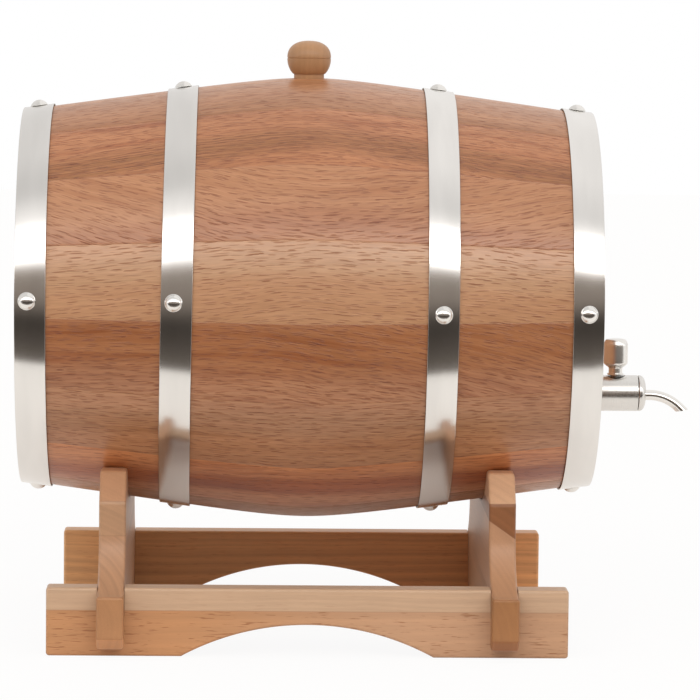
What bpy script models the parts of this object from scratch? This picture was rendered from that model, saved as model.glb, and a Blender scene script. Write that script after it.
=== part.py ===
"""Oak cask liquor dispenser: a coopered cask with a tap and a bung, lying on a halved oak stand.

The cask's axis runs along X with the tap at +X, and Z points up. The origin is on the ground, under
the middle of the whole length. Left and right are those of someone who faces the tap, so left is -Y.
Angles round the cask start at the side that faces -Y and rise over the top. All lengths are in metres.
"""

import math

import bmesh
import bpy
from mathutils import Matrix, Vector

# Fits
GAP = 0.0003            # between pieces that touch
OVERRUN = 0.002         # how far a cutter runs past what it cuts

# Staves
BILGE_RADIUS = 0.135    # outside, at the middle of the cask
END_RADIUS = 0.114      # outside, at the ends of the staves
BILGE_SOFTNESS = 0.0041  # how far the rounded bilge stays inside the crossing of its two flanks
STAVE_LENGTH = 0.348
STAVE_THICKNESS = 0.015
STAVE_COUNT = 17
FIRST_SEAM_ANGLE = math.radians(-2.4)
STEPS_PER_STAVE = 3
OUTER_STEPS = 8
INNER_STEPS = 4
CHIME_LIP = 0.007       # flat ring at the end of the staves
CHIME_BEVEL = 0.010     # length of the bevel inside that ring

# Heads
HEAD_RECESS = 0.020     # from the ends of the staves to the outer face of a head
HEAD_THICKNESS = 0.015
HEAD_TONGUE = 0.005     # what the bevels leave of the edge
HEAD_BEVEL = 0.014      # how far the bevels reach in from the edge
CROZE_DEPTH = 0.004
HEAD_BOARDS = 3
JOINT_TONGUE_LENGTH = 0.004  # of the tongue along one edge of a board
JOINT_TONGUE_THICKNESS = 0.003

# Hoops and their nails
HOOP_WIDTH = 0.0185
HOOP_THICKNESS = 0.001
HEAD_HOOP_OVERHANG = 0.0005  # past the ends of the staves
BILGE_HOOP_INSET = 0.0953  # from the ends of the staves to the middle of a bilge hoop
REAR_BILGE_HOOP_LEAN = 0.014  # shift along the cask for each unit of height, as driven on
FRONT_BILGE_HOOP_LEAN = 0.007
REAR_NAIL_TURN = math.radians(2.6)  # how far round the first nail of each rear hoop sits
REAR_NAIL_SHIFT = 0.0017  # how far that nail sits back from the middle of its hoop
LAP_STEPS = 2           # steps between seams over which a hoop's ends lap
NAIL_COUNT = 4
NAIL_HEAD_RADIUS = 0.0053
NAIL_HEAD_HEIGHT = 0.0035
NAIL_SHANK_RADIUS = 0.0013
NAIL_LENGTH = 0.011     # from under the head to the tip
NAIL_DOME_SHARES = (1, 0.6, 0)  # of the dome's reach from its crown to its rim

# Bung
BUNG_KNOB_RADIUS = 0.0134
BUNG_CROWN_HEIGHT = 0.0107  # from the widest belt up to the top
BUNG_UNDERCURVE = 0.0135 # height over which the lower curve would close
BUNG_KNOB_FOOT = 0.0096  # from the widest belt down to the neck
BUNG_NECK_RADIUS = 0.0092
BUNG_NECK_HEIGHT = 0.0038  # from the cask up to the knob
BUNG_STEP = 0.0005      # of the ring turned at the top of the neck
BUNG_GROOVE = 0.0004    # depth of the line turned round the belt
BUNG_PLUG_LENGTH = 0.021
BUNG_TIP_RADIUS = 0.0084
BUNG_LINES = 6
BUNG_ROUNDNESS = 2.3

# Tap, seen from its own axis
TAP_DROP = 0.058        # under the cask's axis
TAP_RADIUS = 0.0111
TAP_LENGTH = 0.0480     # of the body in front of its washer
TAIL_RADIUS = 0.00795
TAIL_REACH = 0.012      # past the inner face of the head
TAIL_CHAMFER = 0.0008
FLOW_RADIUS = 0.003
WASHER_THICKNESS = 0.0025
OUTER_WASHER_RADIUS = 0.0116
INNER_WASHER_RADIUS = 0.013
WASHER_ROUNDING = 0.0005
NUT_ACROSS_FLATS = 0.024
NUT_THICKNESS = 0.007
NUT_SIDES = 6
NUT_EASE = 0.0006
NOSE_SPIGOT_RADIUS = 0.0066
NOSE_SPIGOT_LENGTH = 0.0042
NOSE_RIM = 0.0008       # straight part of the nose, before its rounded front
NOSE_ROUNDING = 0.0038  # length of that rounded front
NOSE_TIP_RADIUS = 0.0052
NOSE_LINES = 3
TAP_EDGE_EASE = 0.0004
SPOUT_RADIUS = 0.003175
SPOUT_BORE_RADIUS = 0.0024
SPOUT_SEAT = 0.003      # of the tube inside the nose
SPOUT_SAG = 0.0011      # of the tube under the tap's axis
SPOUT_STRAIGHT = 0.0026  # from the nose to the bend
SPOUT_BEND_RADIUS = 0.026
SPOUT_BEND_ANGLE = math.radians(43)
SPOUT_BEND_STEPS = 6
SPOUT_DROP = 0.0095     # from the straight part of the tube down to the middle of the mouth
SPOUT_MOUTH_TILT = math.radians(11)  # rise of the mouth's cut towards the front

# Valve, turning on the knob's upright axis
VALVE_SETBACK = 0.0137  # from the front end of the tap body back to the valve's axis
VALVE_RADIUS = 0.0058
VALVE_DEPTH = 0.0076    # of the plug under the tap's axis
VALVE_SHOULDER = 0.0068  # of the plug above the tap's axis
SEAL_HEIGHT = 0.0050    # of each O-ring above and below the tap's axis
SEAL_THICKNESS = 0.0008  # radius of an O-ring's round section
SEAL_SIDES = 6
SEAL_FREEDOM = 0.0001   # between an O-ring and the wall of the valve's bore
STEM_RADIUS = 0.003
STEM_GRIP = 0.010       # of the stem inside the knob
GLAND_INSET = 0.0003    # of the gland ring under the crest of the tap body
KNOB_RADIUS = 0.0075
KNOB_FOOT_RADIUS = 0.0050
KNOB_FOOT_HEIGHT = 0.0010
KNOB_NECK_RADIUS = 0.0042
KNOB_NECK_HEIGHT = 0.0033
KNOB_TAPER = 0.0027     # height of the cone between the neck and the grip
KNOB_GRIP_HEIGHT = 0.0124
KNOB_CROWN_RADIUS = 0.0061
KNOB_CROWN_HEIGHT = 0.0027

# Stand
AXIS_HEIGHT = 0.2023    # of the cask's axis above the ground
RAIL_OVERHANG = 0.030   # of a rail past a saddle
RAIL_HEIGHT = 0.0405
RAIL_THICKNESS = 0.018
RAIL_SETBACK = 0.017    # from the feet of a saddle in to the outer face of a rail
ARCH_WIDTH = 0.149
ARCH_HEIGHT = 0.019
ARCH_STEPS = 10
SADDLE_INSET = 0.066    # from the ends of the staves to a saddle's inner face
SADDLE_THICKNESS = 0.016
SADDLE_SPAN = 0.308     # across the feet of a saddle
SADDLE_CLEARANCE = 0.0095  # under a saddle
HORN_RISE = 0.0254      # of the horns' tops above the bottom of the cradle
HORN_WIDTH = 0.016      # of the level top of a horn
HORN_CHAMFER = 0.017    # of the corner outside that top
HORN_FLANK = 0.020      # upright part under that corner
FOOT_HEIGHT = 0.0375    # of the upright end of a foot above the ground
FOOT_CHAMFER = 0.007
CRADLE_STEPS = 12
FLARE_STEPS = 4
HALVING_HEIGHT = 0.0246  # of the seat where saddle and rail cross
WOOD_EASE = 0.0018      # rounding of the stand's edges
WOOD_EASE_STEPS = 2

# Facets and edges
ROUND_SIDES = 20
SMALL_SIDES = 10
HOLE_SIDES = 8
SMOOTH_ANGLE = math.radians(30)  # faces that meet more bluntly than this are shaded as one
EASED_ANGLE = math.radians(40)  # edges sharper than this are rounded
MERGE_SHARE = 0.01      # of the gap: points closer than this are one

# Finishes: colour, roughness, metallic
OAK = (0.46, 0.24, 0.13), 0.55, 0.0
STAND_WOOD = (0.58, 0.34, 0.19), 0.55, 0.0
BUNG_WOOD = (0.47, 0.27, 0.14), 0.5, 0.0
BRUSHED_STEEL = (0.62, 0.60, 0.57), 0.32, 1.0
POLISHED_STEEL = (0.72, 0.70, 0.67), 0.14, 1.0
RUBBER = (0.05, 0.05, 0.05), 0.7, 0.0
STAVE_TONE_SHARES = (1.08, 0.92, 1.0, 0.86, 1.04, 0.95, 1.1, 0.9, 1.02)

# Sizes that follow from the ones above
HALF_LENGTH = STAVE_LENGTH / 2
BILGE_RISE = BILGE_RADIUS - END_RADIUS
FLANK_SLOPE = math.sqrt(BILGE_RISE * (BILGE_RISE + 2 * BILGE_SOFTNESS)) / HALF_LENGTH
STAVE_ANGLE = 2 * math.pi / STAVE_COUNT
STEP_ANGLE = STAVE_ANGLE / STEPS_PER_STAVE
HEAD_X = HALF_LENGTH - HEAD_RECESS - HEAD_THICKNESS / 2
HEAD_BEVEL_SLOPE = (HEAD_THICKNESS - HEAD_TONGUE) / 2 / HEAD_BEVEL
HEAD_FACE_X = HALF_LENGTH - HEAD_RECESS
HEAD_BACK_X = HEAD_FACE_X - HEAD_THICKNESS
HEAD_HOOP_X = HALF_LENGTH + HEAD_HOOP_OVERHANG - HOOP_WIDTH / 2
BILGE_HOOP_X = HALF_LENGTH - BILGE_HOOP_INSET
TAP_SHOULDER_X = HEAD_FACE_X + GAP + WASHER_THICKNESS + GAP
TAP_END_X = TAP_SHOULDER_X + TAP_LENGTH
TAIL_END_X = HEAD_BACK_X - TAIL_REACH
VALVE_X = TAP_END_X - VALVE_SETBACK
NOSE_FRONT_X = TAP_END_X + GAP + NOSE_RIM + NOSE_ROUNDING
SPOUT_BEND_X = NOSE_FRONT_X + SPOUT_STRAIGHT
SPOUT_BEND_DROP = SPOUT_BEND_RADIUS * (1 - math.cos(SPOUT_BEND_ANGLE))
SPOUT_TIP_X = (SPOUT_BEND_X + SPOUT_BEND_RADIUS * math.sin(SPOUT_BEND_ANGLE)
               + (SPOUT_DROP - SPOUT_BEND_DROP) / math.tan(SPOUT_BEND_ANGLE))
SPOUT_CUT_ANGLE = SPOUT_BEND_ANGLE + SPOUT_MOUTH_TILT
FRONT_REACH = SPOUT_TIP_X + SPOUT_RADIUS * math.cos(SPOUT_MOUTH_TILT) / math.sin(SPOUT_CUT_ANGLE)
REAR_REACH = HALF_LENGTH + HEAD_HOOP_OVERHANG
CASK_X = (REAR_REACH - FRONT_REACH) / 2
RAIL_Y = SADDLE_SPAN / 2 - RAIL_SETBACK - RAIL_THICKNESS / 2
SADDLE_INNER_X = HALF_LENGTH - SADDLE_INSET
SADDLE_X = SADDLE_INNER_X + SADDLE_THICKNESS / 2
RAIL_LENGTH = 2 * (SADDLE_INNER_X + SADDLE_THICKNESS + RAIL_OVERHANG)
VALVE_BORE_RADIUS = VALVE_RADIUS + GAP


def outside_radius(x):
    """The outside of the cask: two straight flanks joined by a rounded bilge."""
    return BILGE_RADIUS + BILGE_SOFTNESS - math.hypot(BILGE_SOFTNESS, FLANK_SLOPE * x)


def outside_slope(x):
    return -FLANK_SLOPE ** 2 * x / math.hypot(BILGE_SOFTNESS, FLANK_SLOPE * x)


def inside_radius(x):
    return outside_radius(x) - STAVE_THICKNESS


CROZE_RADIUS = inside_radius(HEAD_X) + CROZE_DEPTH
HEAD_RADIUS = CROZE_RADIUS - GAP
CRADLE_RADIUS = outside_radius(SADDLE_INNER_X + WOOD_EASE) + GAP
HORN_HEIGHT = AXIS_HEIGHT - CRADLE_RADIUS + HORN_RISE


def bilge_stations(reach, count):
    """Places along the cask from -reach to reach, closest together where the bilge bends most."""
    widest = math.asinh(FLANK_SLOPE * reach / BILGE_SOFTNESS)
    turns = [widest * (2 * i / count - 1) for i in range(count + 1)]
    return [BILGE_SOFTNESS / FLANK_SLOPE * math.sinh(turn) for turn in turns]


def around(x, radius, angle):
    """A point on the cask, from its axis. Angle 0 faces -Y, and a quarter turn on is the top."""
    return Vector((x, -radius * math.cos(angle), radius * math.sin(angle)))


# Making objects

def finish(name, look):
    colour, roughness, metallic = look
    material = bpy.data.materials.new(name + "_finish")
    material.use_nodes = True
    shader = material.node_tree.nodes["Principled BSDF"]
    shader.inputs["Base Color"].default_value = (*colour, 1)
    shader.inputs["Roughness"].default_value = roughness
    shader.inputs["Metallic"].default_value = metallic
    material.diffuse_color = (*colour, 1)
    return material


def piece(name, bm, parent, look, location=(0, 0, 0), rotation=(0, 0, 0)):
    """An object made from bm, which is used up."""
    mesh = bpy.data.meshes.new(name)
    bm.to_mesh(mesh)
    bm.free()
    obj = bpy.data.objects.new(name, mesh)
    bpy.context.scene.collection.objects.link(obj)
    obj.parent = parent
    obj.location = location
    obj.rotation_euler = rotation
    mesh.materials.append(finish(name, look))
    mesh.shade_smooth()
    mesh.set_sharp_from_angle(angle=SMOOTH_ANGLE)
    return obj


def cutter(name, bm, parent, location=(0, 0, 0), rotation=(0, 0, 0)):
    obj = piece(name, bm, parent, OAK, location, rotation)
    obj.hide_render = True
    obj.display_type = "WIRE"
    return obj


def cut(target, tool):
    """Takes tool out of target."""
    boolean = target.modifiers.new("cut_" + tool.name, "BOOLEAN")
    boolean.operation = "DIFFERENCE"
    boolean.solver = "EXACT"
    boolean.object = tool


def ease(target, width, steps):
    """Rounds the sharp edges of target."""
    bevel = target.modifiers.new("eased_edges", "BEVEL")
    bevel.width = width
    bevel.segments = steps
    bevel.limit_method = "ANGLE"
    bevel.angle_limit = EASED_ANGLE


def even_shading(target):
    """Keeps flat faces evenly shaded next to rounded edges and holes."""
    weighted = target.modifiers.new("even_shading", "WEIGHTED_NORMAL")
    weighted.keep_sharp = True


def empty(name, parent, location):
    obj = bpy.data.objects.new(name, None)
    bpy.context.scene.collection.objects.link(obj)
    obj.parent = parent
    obj.location = location
    return obj


# Making meshes

def loft(sections, closed):
    """Skin over sections of equal point counts. The two end sections are capped unless closed."""
    bm = bmesh.new()
    rings = [[bm.verts.new(point) for point in section] for section in sections]
    following = rings[1:] + rings[:1] if closed else rings[1:]
    for ring, after in zip(rings, following):
        for i in range(len(ring)):
            j = (i + 1) % len(ring)
            bm.faces.new((ring[i], ring[j], after[j], after[i]))
    if not closed:
        bm.faces.new(rings[0])
        bm.faces.new(rings[-1])
    bmesh.ops.remove_doubles(bm, verts=bm.verts, dist=MERGE_SHARE * GAP)
    bmesh.ops.recalc_face_normals(bm, faces=bm.faces)
    return bm


def turned(profile, sides=ROUND_SIDES):
    """A piece turned on the lathe about Z, from (radius, height) points round its half section."""
    bm = bmesh.new()
    points = [bm.verts.new((radius, 0, height)) for radius, height in profile]
    edges = [bm.edges.new(pair) for pair in zip(points, points[1:])]
    if profile[0][0] and profile[-1][0]:
        edges.append(bm.edges.new((points[-1], points[0])))
    bmesh.ops.spin(bm, geom=points + edges, axis=(0, 0, 1), cent=(0, 0, 0),
                   angle=2 * math.pi, steps=sides, use_merge=True)
    bmesh.ops.remove_doubles(bm, verts=bm.verts, dist=MERGE_SHARE * GAP)
    bmesh.ops.recalc_face_normals(bm, faces=bm.faces)
    return bm


def rod(radius, low, high, sides=ROUND_SIDES, end_radius=None):
    """A straight or tapered rod along Z."""
    top = radius if end_radius is None else end_radius
    return turned([(0, low), (radius, low), (top, high), (0, high)], sides)


def board(outline, thickness):
    """A board whose (across, up) outline lies in the XZ plane, with its thickness along Y."""
    bm = bmesh.new()
    face = bm.faces.new([bm.verts.new((x, -thickness / 2, z)) for x, z in outline])
    walls = bmesh.ops.extrude_face_region(bm, geom=[face])
    far_side = [item for item in walls["geom"] if isinstance(item, bmesh.types.BMVert)]
    bmesh.ops.translate(bm, verts=far_side, vec=(0, thickness, 0))
    bmesh.ops.recalc_face_normals(bm, faces=bm.faces)
    return bm


def block(low, high):
    """A box between two corners."""
    bm = bmesh.new()
    size = [b - a for a, b in zip(low, high)]
    middle = [(a + b) / 2 for a, b in zip(low, high)]
    bmesh.ops.create_cube(bm, size=1, matrix=Matrix.Translation(middle) @ Matrix.Diagonal((*size, 1)))
    return bm


def gathered(meshes):
    """Puts the solids of several meshes into one, still apart."""
    whole = bmesh.new()
    for bm in meshes:
        part = bpy.data.meshes.new("part")
        bm.to_mesh(part)
        bm.free()
        whole.from_mesh(part)
        bpy.data.meshes.remove(part)
    return whole


def moved(bm, matrix):
    bmesh.ops.transform(bm, matrix=matrix, verts=bm.verts)
    return bm


def sliced(bm, low, high):
    """Keeps what lies between two planes across Y."""
    for y, side in ((low, -1), (high, 1)):
        everything = bm.verts[:] + bm.edges[:] + bm.faces[:]
        found = bmesh.ops.bisect_plane(bm, geom=everything, plane_co=(0, y, 0), plane_no=(0, side, 0),
                                       clear_outer=True)
        rim = [item for item in found["geom_cut"] if isinstance(item, bmesh.types.BMEdge)]
        if rim:
            bmesh.ops.contextual_create(bm, geom=rim)
    bmesh.ops.recalc_face_normals(bm, faces=bm.faces)
    return bm


ALONG_X = (0, math.pi / 2, 0)


# Cask

def croze_mouth(side):
    """Where a flank of the croze meets the inside of the stave, towards the end (1) or the middle (-1)."""
    slack = GAP * math.hypot(1, HEAD_BEVEL_SLOPE)
    reach = HEAD_TONGUE / 2 + HEAD_BEVEL_SLOPE * (HEAD_RADIUS - inside_radius(HEAD_X)) + slack
    return HEAD_X + side * reach / (1 + side * HEAD_BEVEL_SLOPE * outside_slope(HEAD_X))


def stave_section():
    """The section along a stave as (x, radius): bilge outside, chime and croze inside each end."""
    slack = GAP * math.hypot(1, HEAD_BEVEL_SLOPE)
    floor = HEAD_TONGUE / 2 - HEAD_BEVEL_SLOPE * GAP + slack
    mouth_out = croze_mouth(1)
    mouth_in = croze_mouth(-1)
    bevel_x = HALF_LENGTH - CHIME_BEVEL
    front_end = [
        (HALF_LENGTH, END_RADIUS - CHIME_LIP),
        (bevel_x, inside_radius(bevel_x)),
        (mouth_out, inside_radius(mouth_out)),
        (HEAD_X + floor, CROZE_RADIUS),
        (HEAD_X - floor, CROZE_RADIUS),
        (mouth_in, inside_radius(mouth_in)),
    ]
    rear_end = [(-x, radius) for x, radius in reversed(front_end)]
    outside = [(x, outside_radius(x)) for x in bilge_stations(HALF_LENGTH, OUTER_STEPS)]
    hollow = [(x, inside_radius(x)) for x in reversed(bilge_stations(mouth_in, INNER_STEPS)[1:-1])]
    return outside + front_end + hollow + rear_end


def stave_mesh(number):
    """One stave between two planed joints, each set back half a gap from the plane of its seam."""
    start = FIRST_SEAM_ANGLE + number * STAVE_ANGLE
    section = stave_section()
    sections = []
    for step in range(STEPS_PER_STAVE + 1):
        lean = {0: 1, STEPS_PER_STAVE: -1}.get(step, 0)
        angle = start + step * STEP_ANGLE
        sections.append([around(x, radius, angle + lean * math.asin(GAP / 2 / radius))
                         for x, radius in section])
    return loft(sections, closed=False)


def staves_under(staves, angle, radius, reach):
    """The staves that a hole at an angle and radius cuts, the hole reaching that far to each side."""
    turns = [angle + side * math.asin(reach / radius) for side in (-1, 0, 1)]
    numbers = {math.floor((turn - FIRST_SEAM_ANGLE) / STAVE_ANGLE) % STAVE_COUNT for turn in turns}
    return [staves[number] for number in sorted(numbers)]


def make_staves(cask):
    staves = []
    for number in range(STAVE_COUNT):
        tone = STAVE_TONE_SHARES[number % len(STAVE_TONE_SHARES)]
        colour, roughness, metallic = OAK
        look = tuple(tone * channel for channel in colour), roughness, metallic
        staves.append(piece(f"stave_{number + 1:02d}", stave_mesh(number), cask, look))
    return staves


def head_mesh():
    """A whole head before it is cut into boards, with both bevels down to its tongue."""
    rim = HEAD_RADIUS - HEAD_BEVEL
    section = [
        (-HEAD_THICKNESS / 2, 0), (-HEAD_THICKNESS / 2, rim), (-HEAD_TONGUE / 2, HEAD_RADIUS),
        (HEAD_TONGUE / 2, HEAD_RADIUS), (HEAD_THICKNESS / 2, rim), (HEAD_THICKNESS / 2, 0),
    ]
    angles = [FIRST_SEAM_ANGLE + i * STEP_ANGLE for i in range(STAVE_COUNT * STEPS_PER_STAVE)]
    return loft([[around(x, radius, angle) for x, radius in section] for angle in angles], closed=True)


def make_head(cask, name, side):
    """The boards of one head, tongued and grooved, side being 1 at the tap and -1 at the rear."""
    place = (side * HEAD_X, 0, 0)
    width = 2 * HEAD_RADIUS / HEAD_BOARDS
    joints = [width * i - HEAD_RADIUS for i in range(HEAD_BOARDS + 1)]
    over = HEAD_RADIUS + OVERRUN
    boards = []
    for number in range(HEAD_BOARDS):
        low = joints[number] + GAP / 2
        high = joints[number + 1] - GAP / 2
        first = number == 0
        last = number == HEAD_BOARDS - 1
        blank = sliced(head_mesh(), low - (OVERRUN if first else 0),
                       high + (OVERRUN if last else JOINT_TONGUE_LENGTH))
        plank = piece(f"{name}_head_board_{number + 1}", blank, cask, OAK, place)
        if not first:
            half = JOINT_TONGUE_THICKNESS / 2 + GAP
            groove = block((-half, low - OVERRUN, -over), (half, low + JOINT_TONGUE_LENGTH, over))
            cut(plank, cutter(f"{name}_head_groove_{number + 1}", groove, cask, place))
        if not last:
            half = JOINT_TONGUE_THICKNESS / 2
            end = high + JOINT_TONGUE_LENGTH + OVERRUN
            shoulders = [block((-HEAD_THICKNESS, high, -over), (-half, end, over)),
                         block((half, high, -over), (HEAD_THICKNESS, end, over))]
            cut(plank, cutter(f"{name}_head_shoulders_{number + 1}", gathered(shoulders), cask, place))
        boards.append(plank)
    return boards


def hoop_mesh(centre, lean):
    """A strip hoop that lies on the staves and laps over its own end at the back of the cask."""
    first = round((math.pi - FIRST_SEAM_ANGLE) / STEP_ANGLE) - LAP_STEPS // 2
    turn = STAVE_COUNT * STEPS_PER_STAVE
    sections = []
    for step in range(turn + LAP_STEPS + 1):
        angle = FIRST_SEAM_ANGLE + (first + step) * STEP_ANGLE
        rise = GAP + (HOOP_THICKNESS + GAP if step >= turn else 0)
        middle = centre + lean * outside_radius(centre) * math.sin(angle)
        edges = (middle - HOOP_WIDTH / 2, middle + HOOP_WIDTH / 2)
        sections.append([around(x, outside_radius(x) + rise, angle) for x in edges]
                        + [around(x, outside_radius(x) + rise + HOOP_THICKNESS, angle)
                           for x in reversed(edges)])
    return loft(sections, closed=False)


def nail_places(centre, lean, turn, shift):
    """Frames on a hoop's outer face, Z outwards, and the angles of the nails there.

    The nails are evenly spaced but for the first, which sits round by turn and back by shift.
    """
    places = []
    for i in range(NAIL_COUNT):
        angle = 2 * math.pi * i / NAIL_COUNT if i else turn
        x = centre + lean * outside_radius(centre) * math.sin(angle) - (0 if i else shift)
        layers = 2 if abs(angle % (2 * math.pi) - math.pi) < STEP_ANGLE else 1
        radius = outside_radius(x) + layers * (HOOP_THICKNESS + GAP)
        outwards = (around(0, 1, angle) - Vector((outside_slope(x), 0, 0))).normalized()
        frame = outwards.to_track_quat("Z", "Y").to_matrix().to_4x4()
        frame.translation = around(x, radius, angle) + GAP * outwards
        places.append((frame, angle))
    return places


def nail_mesh():
    """A nail with a low domed head, standing on Z = 0."""
    ball = (NAIL_HEAD_RADIUS ** 2 + NAIL_HEAD_HEIGHT ** 2) / (2 * NAIL_HEAD_HEIGHT)
    reach = math.asin(NAIL_HEAD_RADIUS / ball)
    dome = [(ball * math.sin(reach * share), ball * (math.cos(reach * share) - math.cos(reach)))
            for share in NAIL_DOME_SHARES]
    return turned([(0, -NAIL_LENGTH), (NAIL_SHANK_RADIUS, -NAIL_LENGTH + NAIL_SHANK_RADIUS),
                   (NAIL_SHANK_RADIUS, 0)] + dome, SMALL_SIDES)


def make_hoop(cask, staves, name, centre, lean=0, turn=0, shift=0):
    """One hoop with its nails, and the holes for them through the strip and into the staves."""
    hoop = piece(f"{name}_hoop", hoop_mesh(centre, lean), cask, BRUSHED_STEEL)
    places = nail_places(centre, lean, turn, shift)
    holes = cutter(f"{name}_nail_holes",
                   gathered([moved(rod(NAIL_SHANK_RADIUS + GAP, -NAIL_LENGTH - GAP, OVERRUN, HOLE_SIDES),
                                   frame) for frame, _ in places]), cask)
    cut(hoop, holes)
    for _, angle in places:
        for stave in staves_under(staves, angle, inside_radius(centre), NAIL_SHANK_RADIUS + GAP):
            cut(stave, holes)
    for number, (frame, _) in enumerate(places):
        piece(f"{name}_nail_{number + 1}", moved(nail_mesh(), frame), cask, POLISHED_STEEL)


# Bung

def bung_curve(height, level):
    """Radius of the knob at a level above (or below) its widest belt, over a curve of that height."""
    share = abs(level) / height
    return BUNG_KNOB_RADIUS * (1 - share ** BUNG_ROUNDNESS) ** (1 / BUNG_ROUNDNESS)


def bung_section():
    """Half section of the bung from its tip to its crown, with Z = 0 on the crest of the cask."""
    neck_top = BUNG_NECK_HEIGHT
    belt = neck_top + BUNG_KNOB_FOOT
    below = [BUNG_KNOB_FOOT * (i / BUNG_LINES - 1) for i in range(BUNG_LINES - 1)]
    above = [BUNG_CROWN_HEIGHT * math.sin(math.pi / 2 * i / BUNG_LINES) for i in range(1, BUNG_LINES)]
    groove = belt - BUNG_GROOVE
    return (
        [(0, -BUNG_PLUG_LENGTH), (BUNG_TIP_RADIUS, -BUNG_PLUG_LENGTH), (BUNG_NECK_RADIUS, 0),
         (BUNG_NECK_RADIUS, neck_top - BUNG_STEP),
         (bung_curve(BUNG_UNDERCURVE, BUNG_KNOB_FOOT) - BUNG_STEP, neck_top - BUNG_STEP)]
        + [(bung_curve(BUNG_UNDERCURVE, level), belt + level) for level in below]
        + [(BUNG_KNOB_RADIUS, groove - BUNG_GROOVE), (BUNG_KNOB_RADIUS - BUNG_GROOVE, groove),
           (BUNG_KNOB_RADIUS, belt)]
        + [(bung_curve(BUNG_CROWN_HEIGHT, level), belt + level) for level in above]
        + [(0, belt + BUNG_CROWN_HEIGHT)]
    )


def make_bung(cask, staves):
    """The bung on its lift axis, and its tapered hole in the stave under it."""
    axis = empty("bung_axis", cask, (0, 0, BILGE_RADIUS))
    piece("bung", turned(bung_section()), axis, BUNG_WOOD)
    taper = (BUNG_NECK_RADIUS - BUNG_TIP_RADIUS) / BUNG_PLUG_LENGTH
    low = -BUNG_PLUG_LENGTH
    wide = BUNG_NECK_RADIUS + GAP + taper * OVERRUN
    hole = cutter("bung_hole", rod(BUNG_TIP_RADIUS + GAP, low, OVERRUN, ROUND_SIDES, wide), axis)
    for stave in staves_under(staves, math.pi / 2, inside_radius(0), wide):
        cut(stave, hole)


# Tap

def tap_body_section():
    """Half section of the tap body as (radius, x): tail, shoulder, barrel and the socket of the nose."""
    socket = TAP_END_X - NOSE_SPIGOT_LENGTH - GAP
    return [
        (FLOW_RADIUS, TAIL_END_X),
        (TAIL_RADIUS - TAIL_CHAMFER, TAIL_END_X),
        (TAIL_RADIUS, TAIL_END_X + TAIL_CHAMFER),
        (TAIL_RADIUS, TAP_SHOULDER_X),
        (TAP_RADIUS - TAP_EDGE_EASE, TAP_SHOULDER_X),
        (TAP_RADIUS, TAP_SHOULDER_X + TAP_EDGE_EASE),
        (TAP_RADIUS, TAP_END_X - TAP_EDGE_EASE),
        (TAP_RADIUS - TAP_EDGE_EASE, TAP_END_X),
        (NOSE_SPIGOT_RADIUS + GAP, TAP_END_X),
        (NOSE_SPIGOT_RADIUS + GAP, socket),
        (FLOW_RADIUS, socket),
    ]


def nose_section():
    """Half section of the nose as (radius, x), before its hole: spigot, rim and rounded front."""
    rim = TAP_END_X + GAP
    rounded = []
    for i in range(NOSE_LINES + 1):
        turn = math.pi / 2 * i / NOSE_LINES
        rounded.append((NOSE_TIP_RADIUS + (TAP_RADIUS - NOSE_TIP_RADIUS) * math.cos(turn),
                        rim + NOSE_RIM + NOSE_ROUNDING * math.sin(turn)))
    return [
        (0, TAP_END_X - NOSE_SPIGOT_LENGTH),
        (NOSE_SPIGOT_RADIUS, TAP_END_X - NOSE_SPIGOT_LENGTH),
        (NOSE_SPIGOT_RADIUS, rim),
        (TAP_RADIUS - TAP_EDGE_EASE, rim),
        (TAP_RADIUS, rim + TAP_EDGE_EASE),
    ] + rounded + [(0, NOSE_FRONT_X)]


def nose_hole_section():
    """Half section of the hole through the nose: a bore, and the wider socket of the spout."""
    socket = SPOUT_RADIUS + GAP
    seat = NOSE_FRONT_X - SPOUT_SEAT - GAP
    low = TAP_END_X - NOSE_SPIGOT_LENGTH - OVERRUN
    high = NOSE_FRONT_X + OVERRUN
    return [(0, low), (SPOUT_BORE_RADIUS, low), (SPOUT_BORE_RADIUS, seat), (socket, seat),
            (socket, high), (0, high)]


def spout_point(x, z, lean, radius, side, further=0):
    """A point round the spout tube where its middle is at (x, z) and heads down at an angle, lean.

    The point may lie further along the tube than that middle.
    """
    turn = 2 * math.pi * side / SMALL_SIDES
    lift = radius * math.cos(turn)
    return Vector((x + lift * math.sin(lean) + further * math.cos(lean), radius * math.sin(turn),
                   z + lift * math.cos(lean) - further * math.sin(lean)))


def spout_mouth_point(radius, side):
    """A point of the mouth, which is cut aslant through the end of the tube."""
    lift = radius * math.cos(2 * math.pi * side / SMALL_SIDES)
    return spout_point(SPOUT_TIP_X, -SPOUT_DROP, SPOUT_BEND_ANGLE, radius, side,
                       lift / math.tan(SPOUT_CUT_ANGLE))


def spout_mesh():
    """The spout tube: straight out of the nose, one bend down, and a mouth cut nearly level."""
    path = [(NOSE_FRONT_X - SPOUT_SEAT, 0, 0)]
    for i in range(SPOUT_BEND_STEPS + 1):
        lean = SPOUT_BEND_ANGLE * i / SPOUT_BEND_STEPS
        path.append((SPOUT_BEND_X + SPOUT_BEND_RADIUS * math.sin(lean),
                     -SPOUT_BEND_RADIUS * (1 - math.cos(lean)), lean))
    sections = []
    for side in range(SMALL_SIDES):
        outside = [spout_point(*place, SPOUT_RADIUS, side) for place in path]
        bore = [spout_point(*place, SPOUT_BORE_RADIUS, side) for place in reversed(path)]
        sections.append(outside + [spout_mouth_point(SPOUT_RADIUS, side),
                                   spout_mouth_point(SPOUT_BORE_RADIUS, side)] + bore)
    return loft(sections, closed=True)


def ring_section(inner, outer, low, high, rounding):
    """Half section of a flat ring whose outer edges are rounded."""
    return [(inner, low), (outer - rounding, low), (outer, low + rounding),
            (outer, high - rounding), (outer - rounding, high), (inner, high)]


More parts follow.
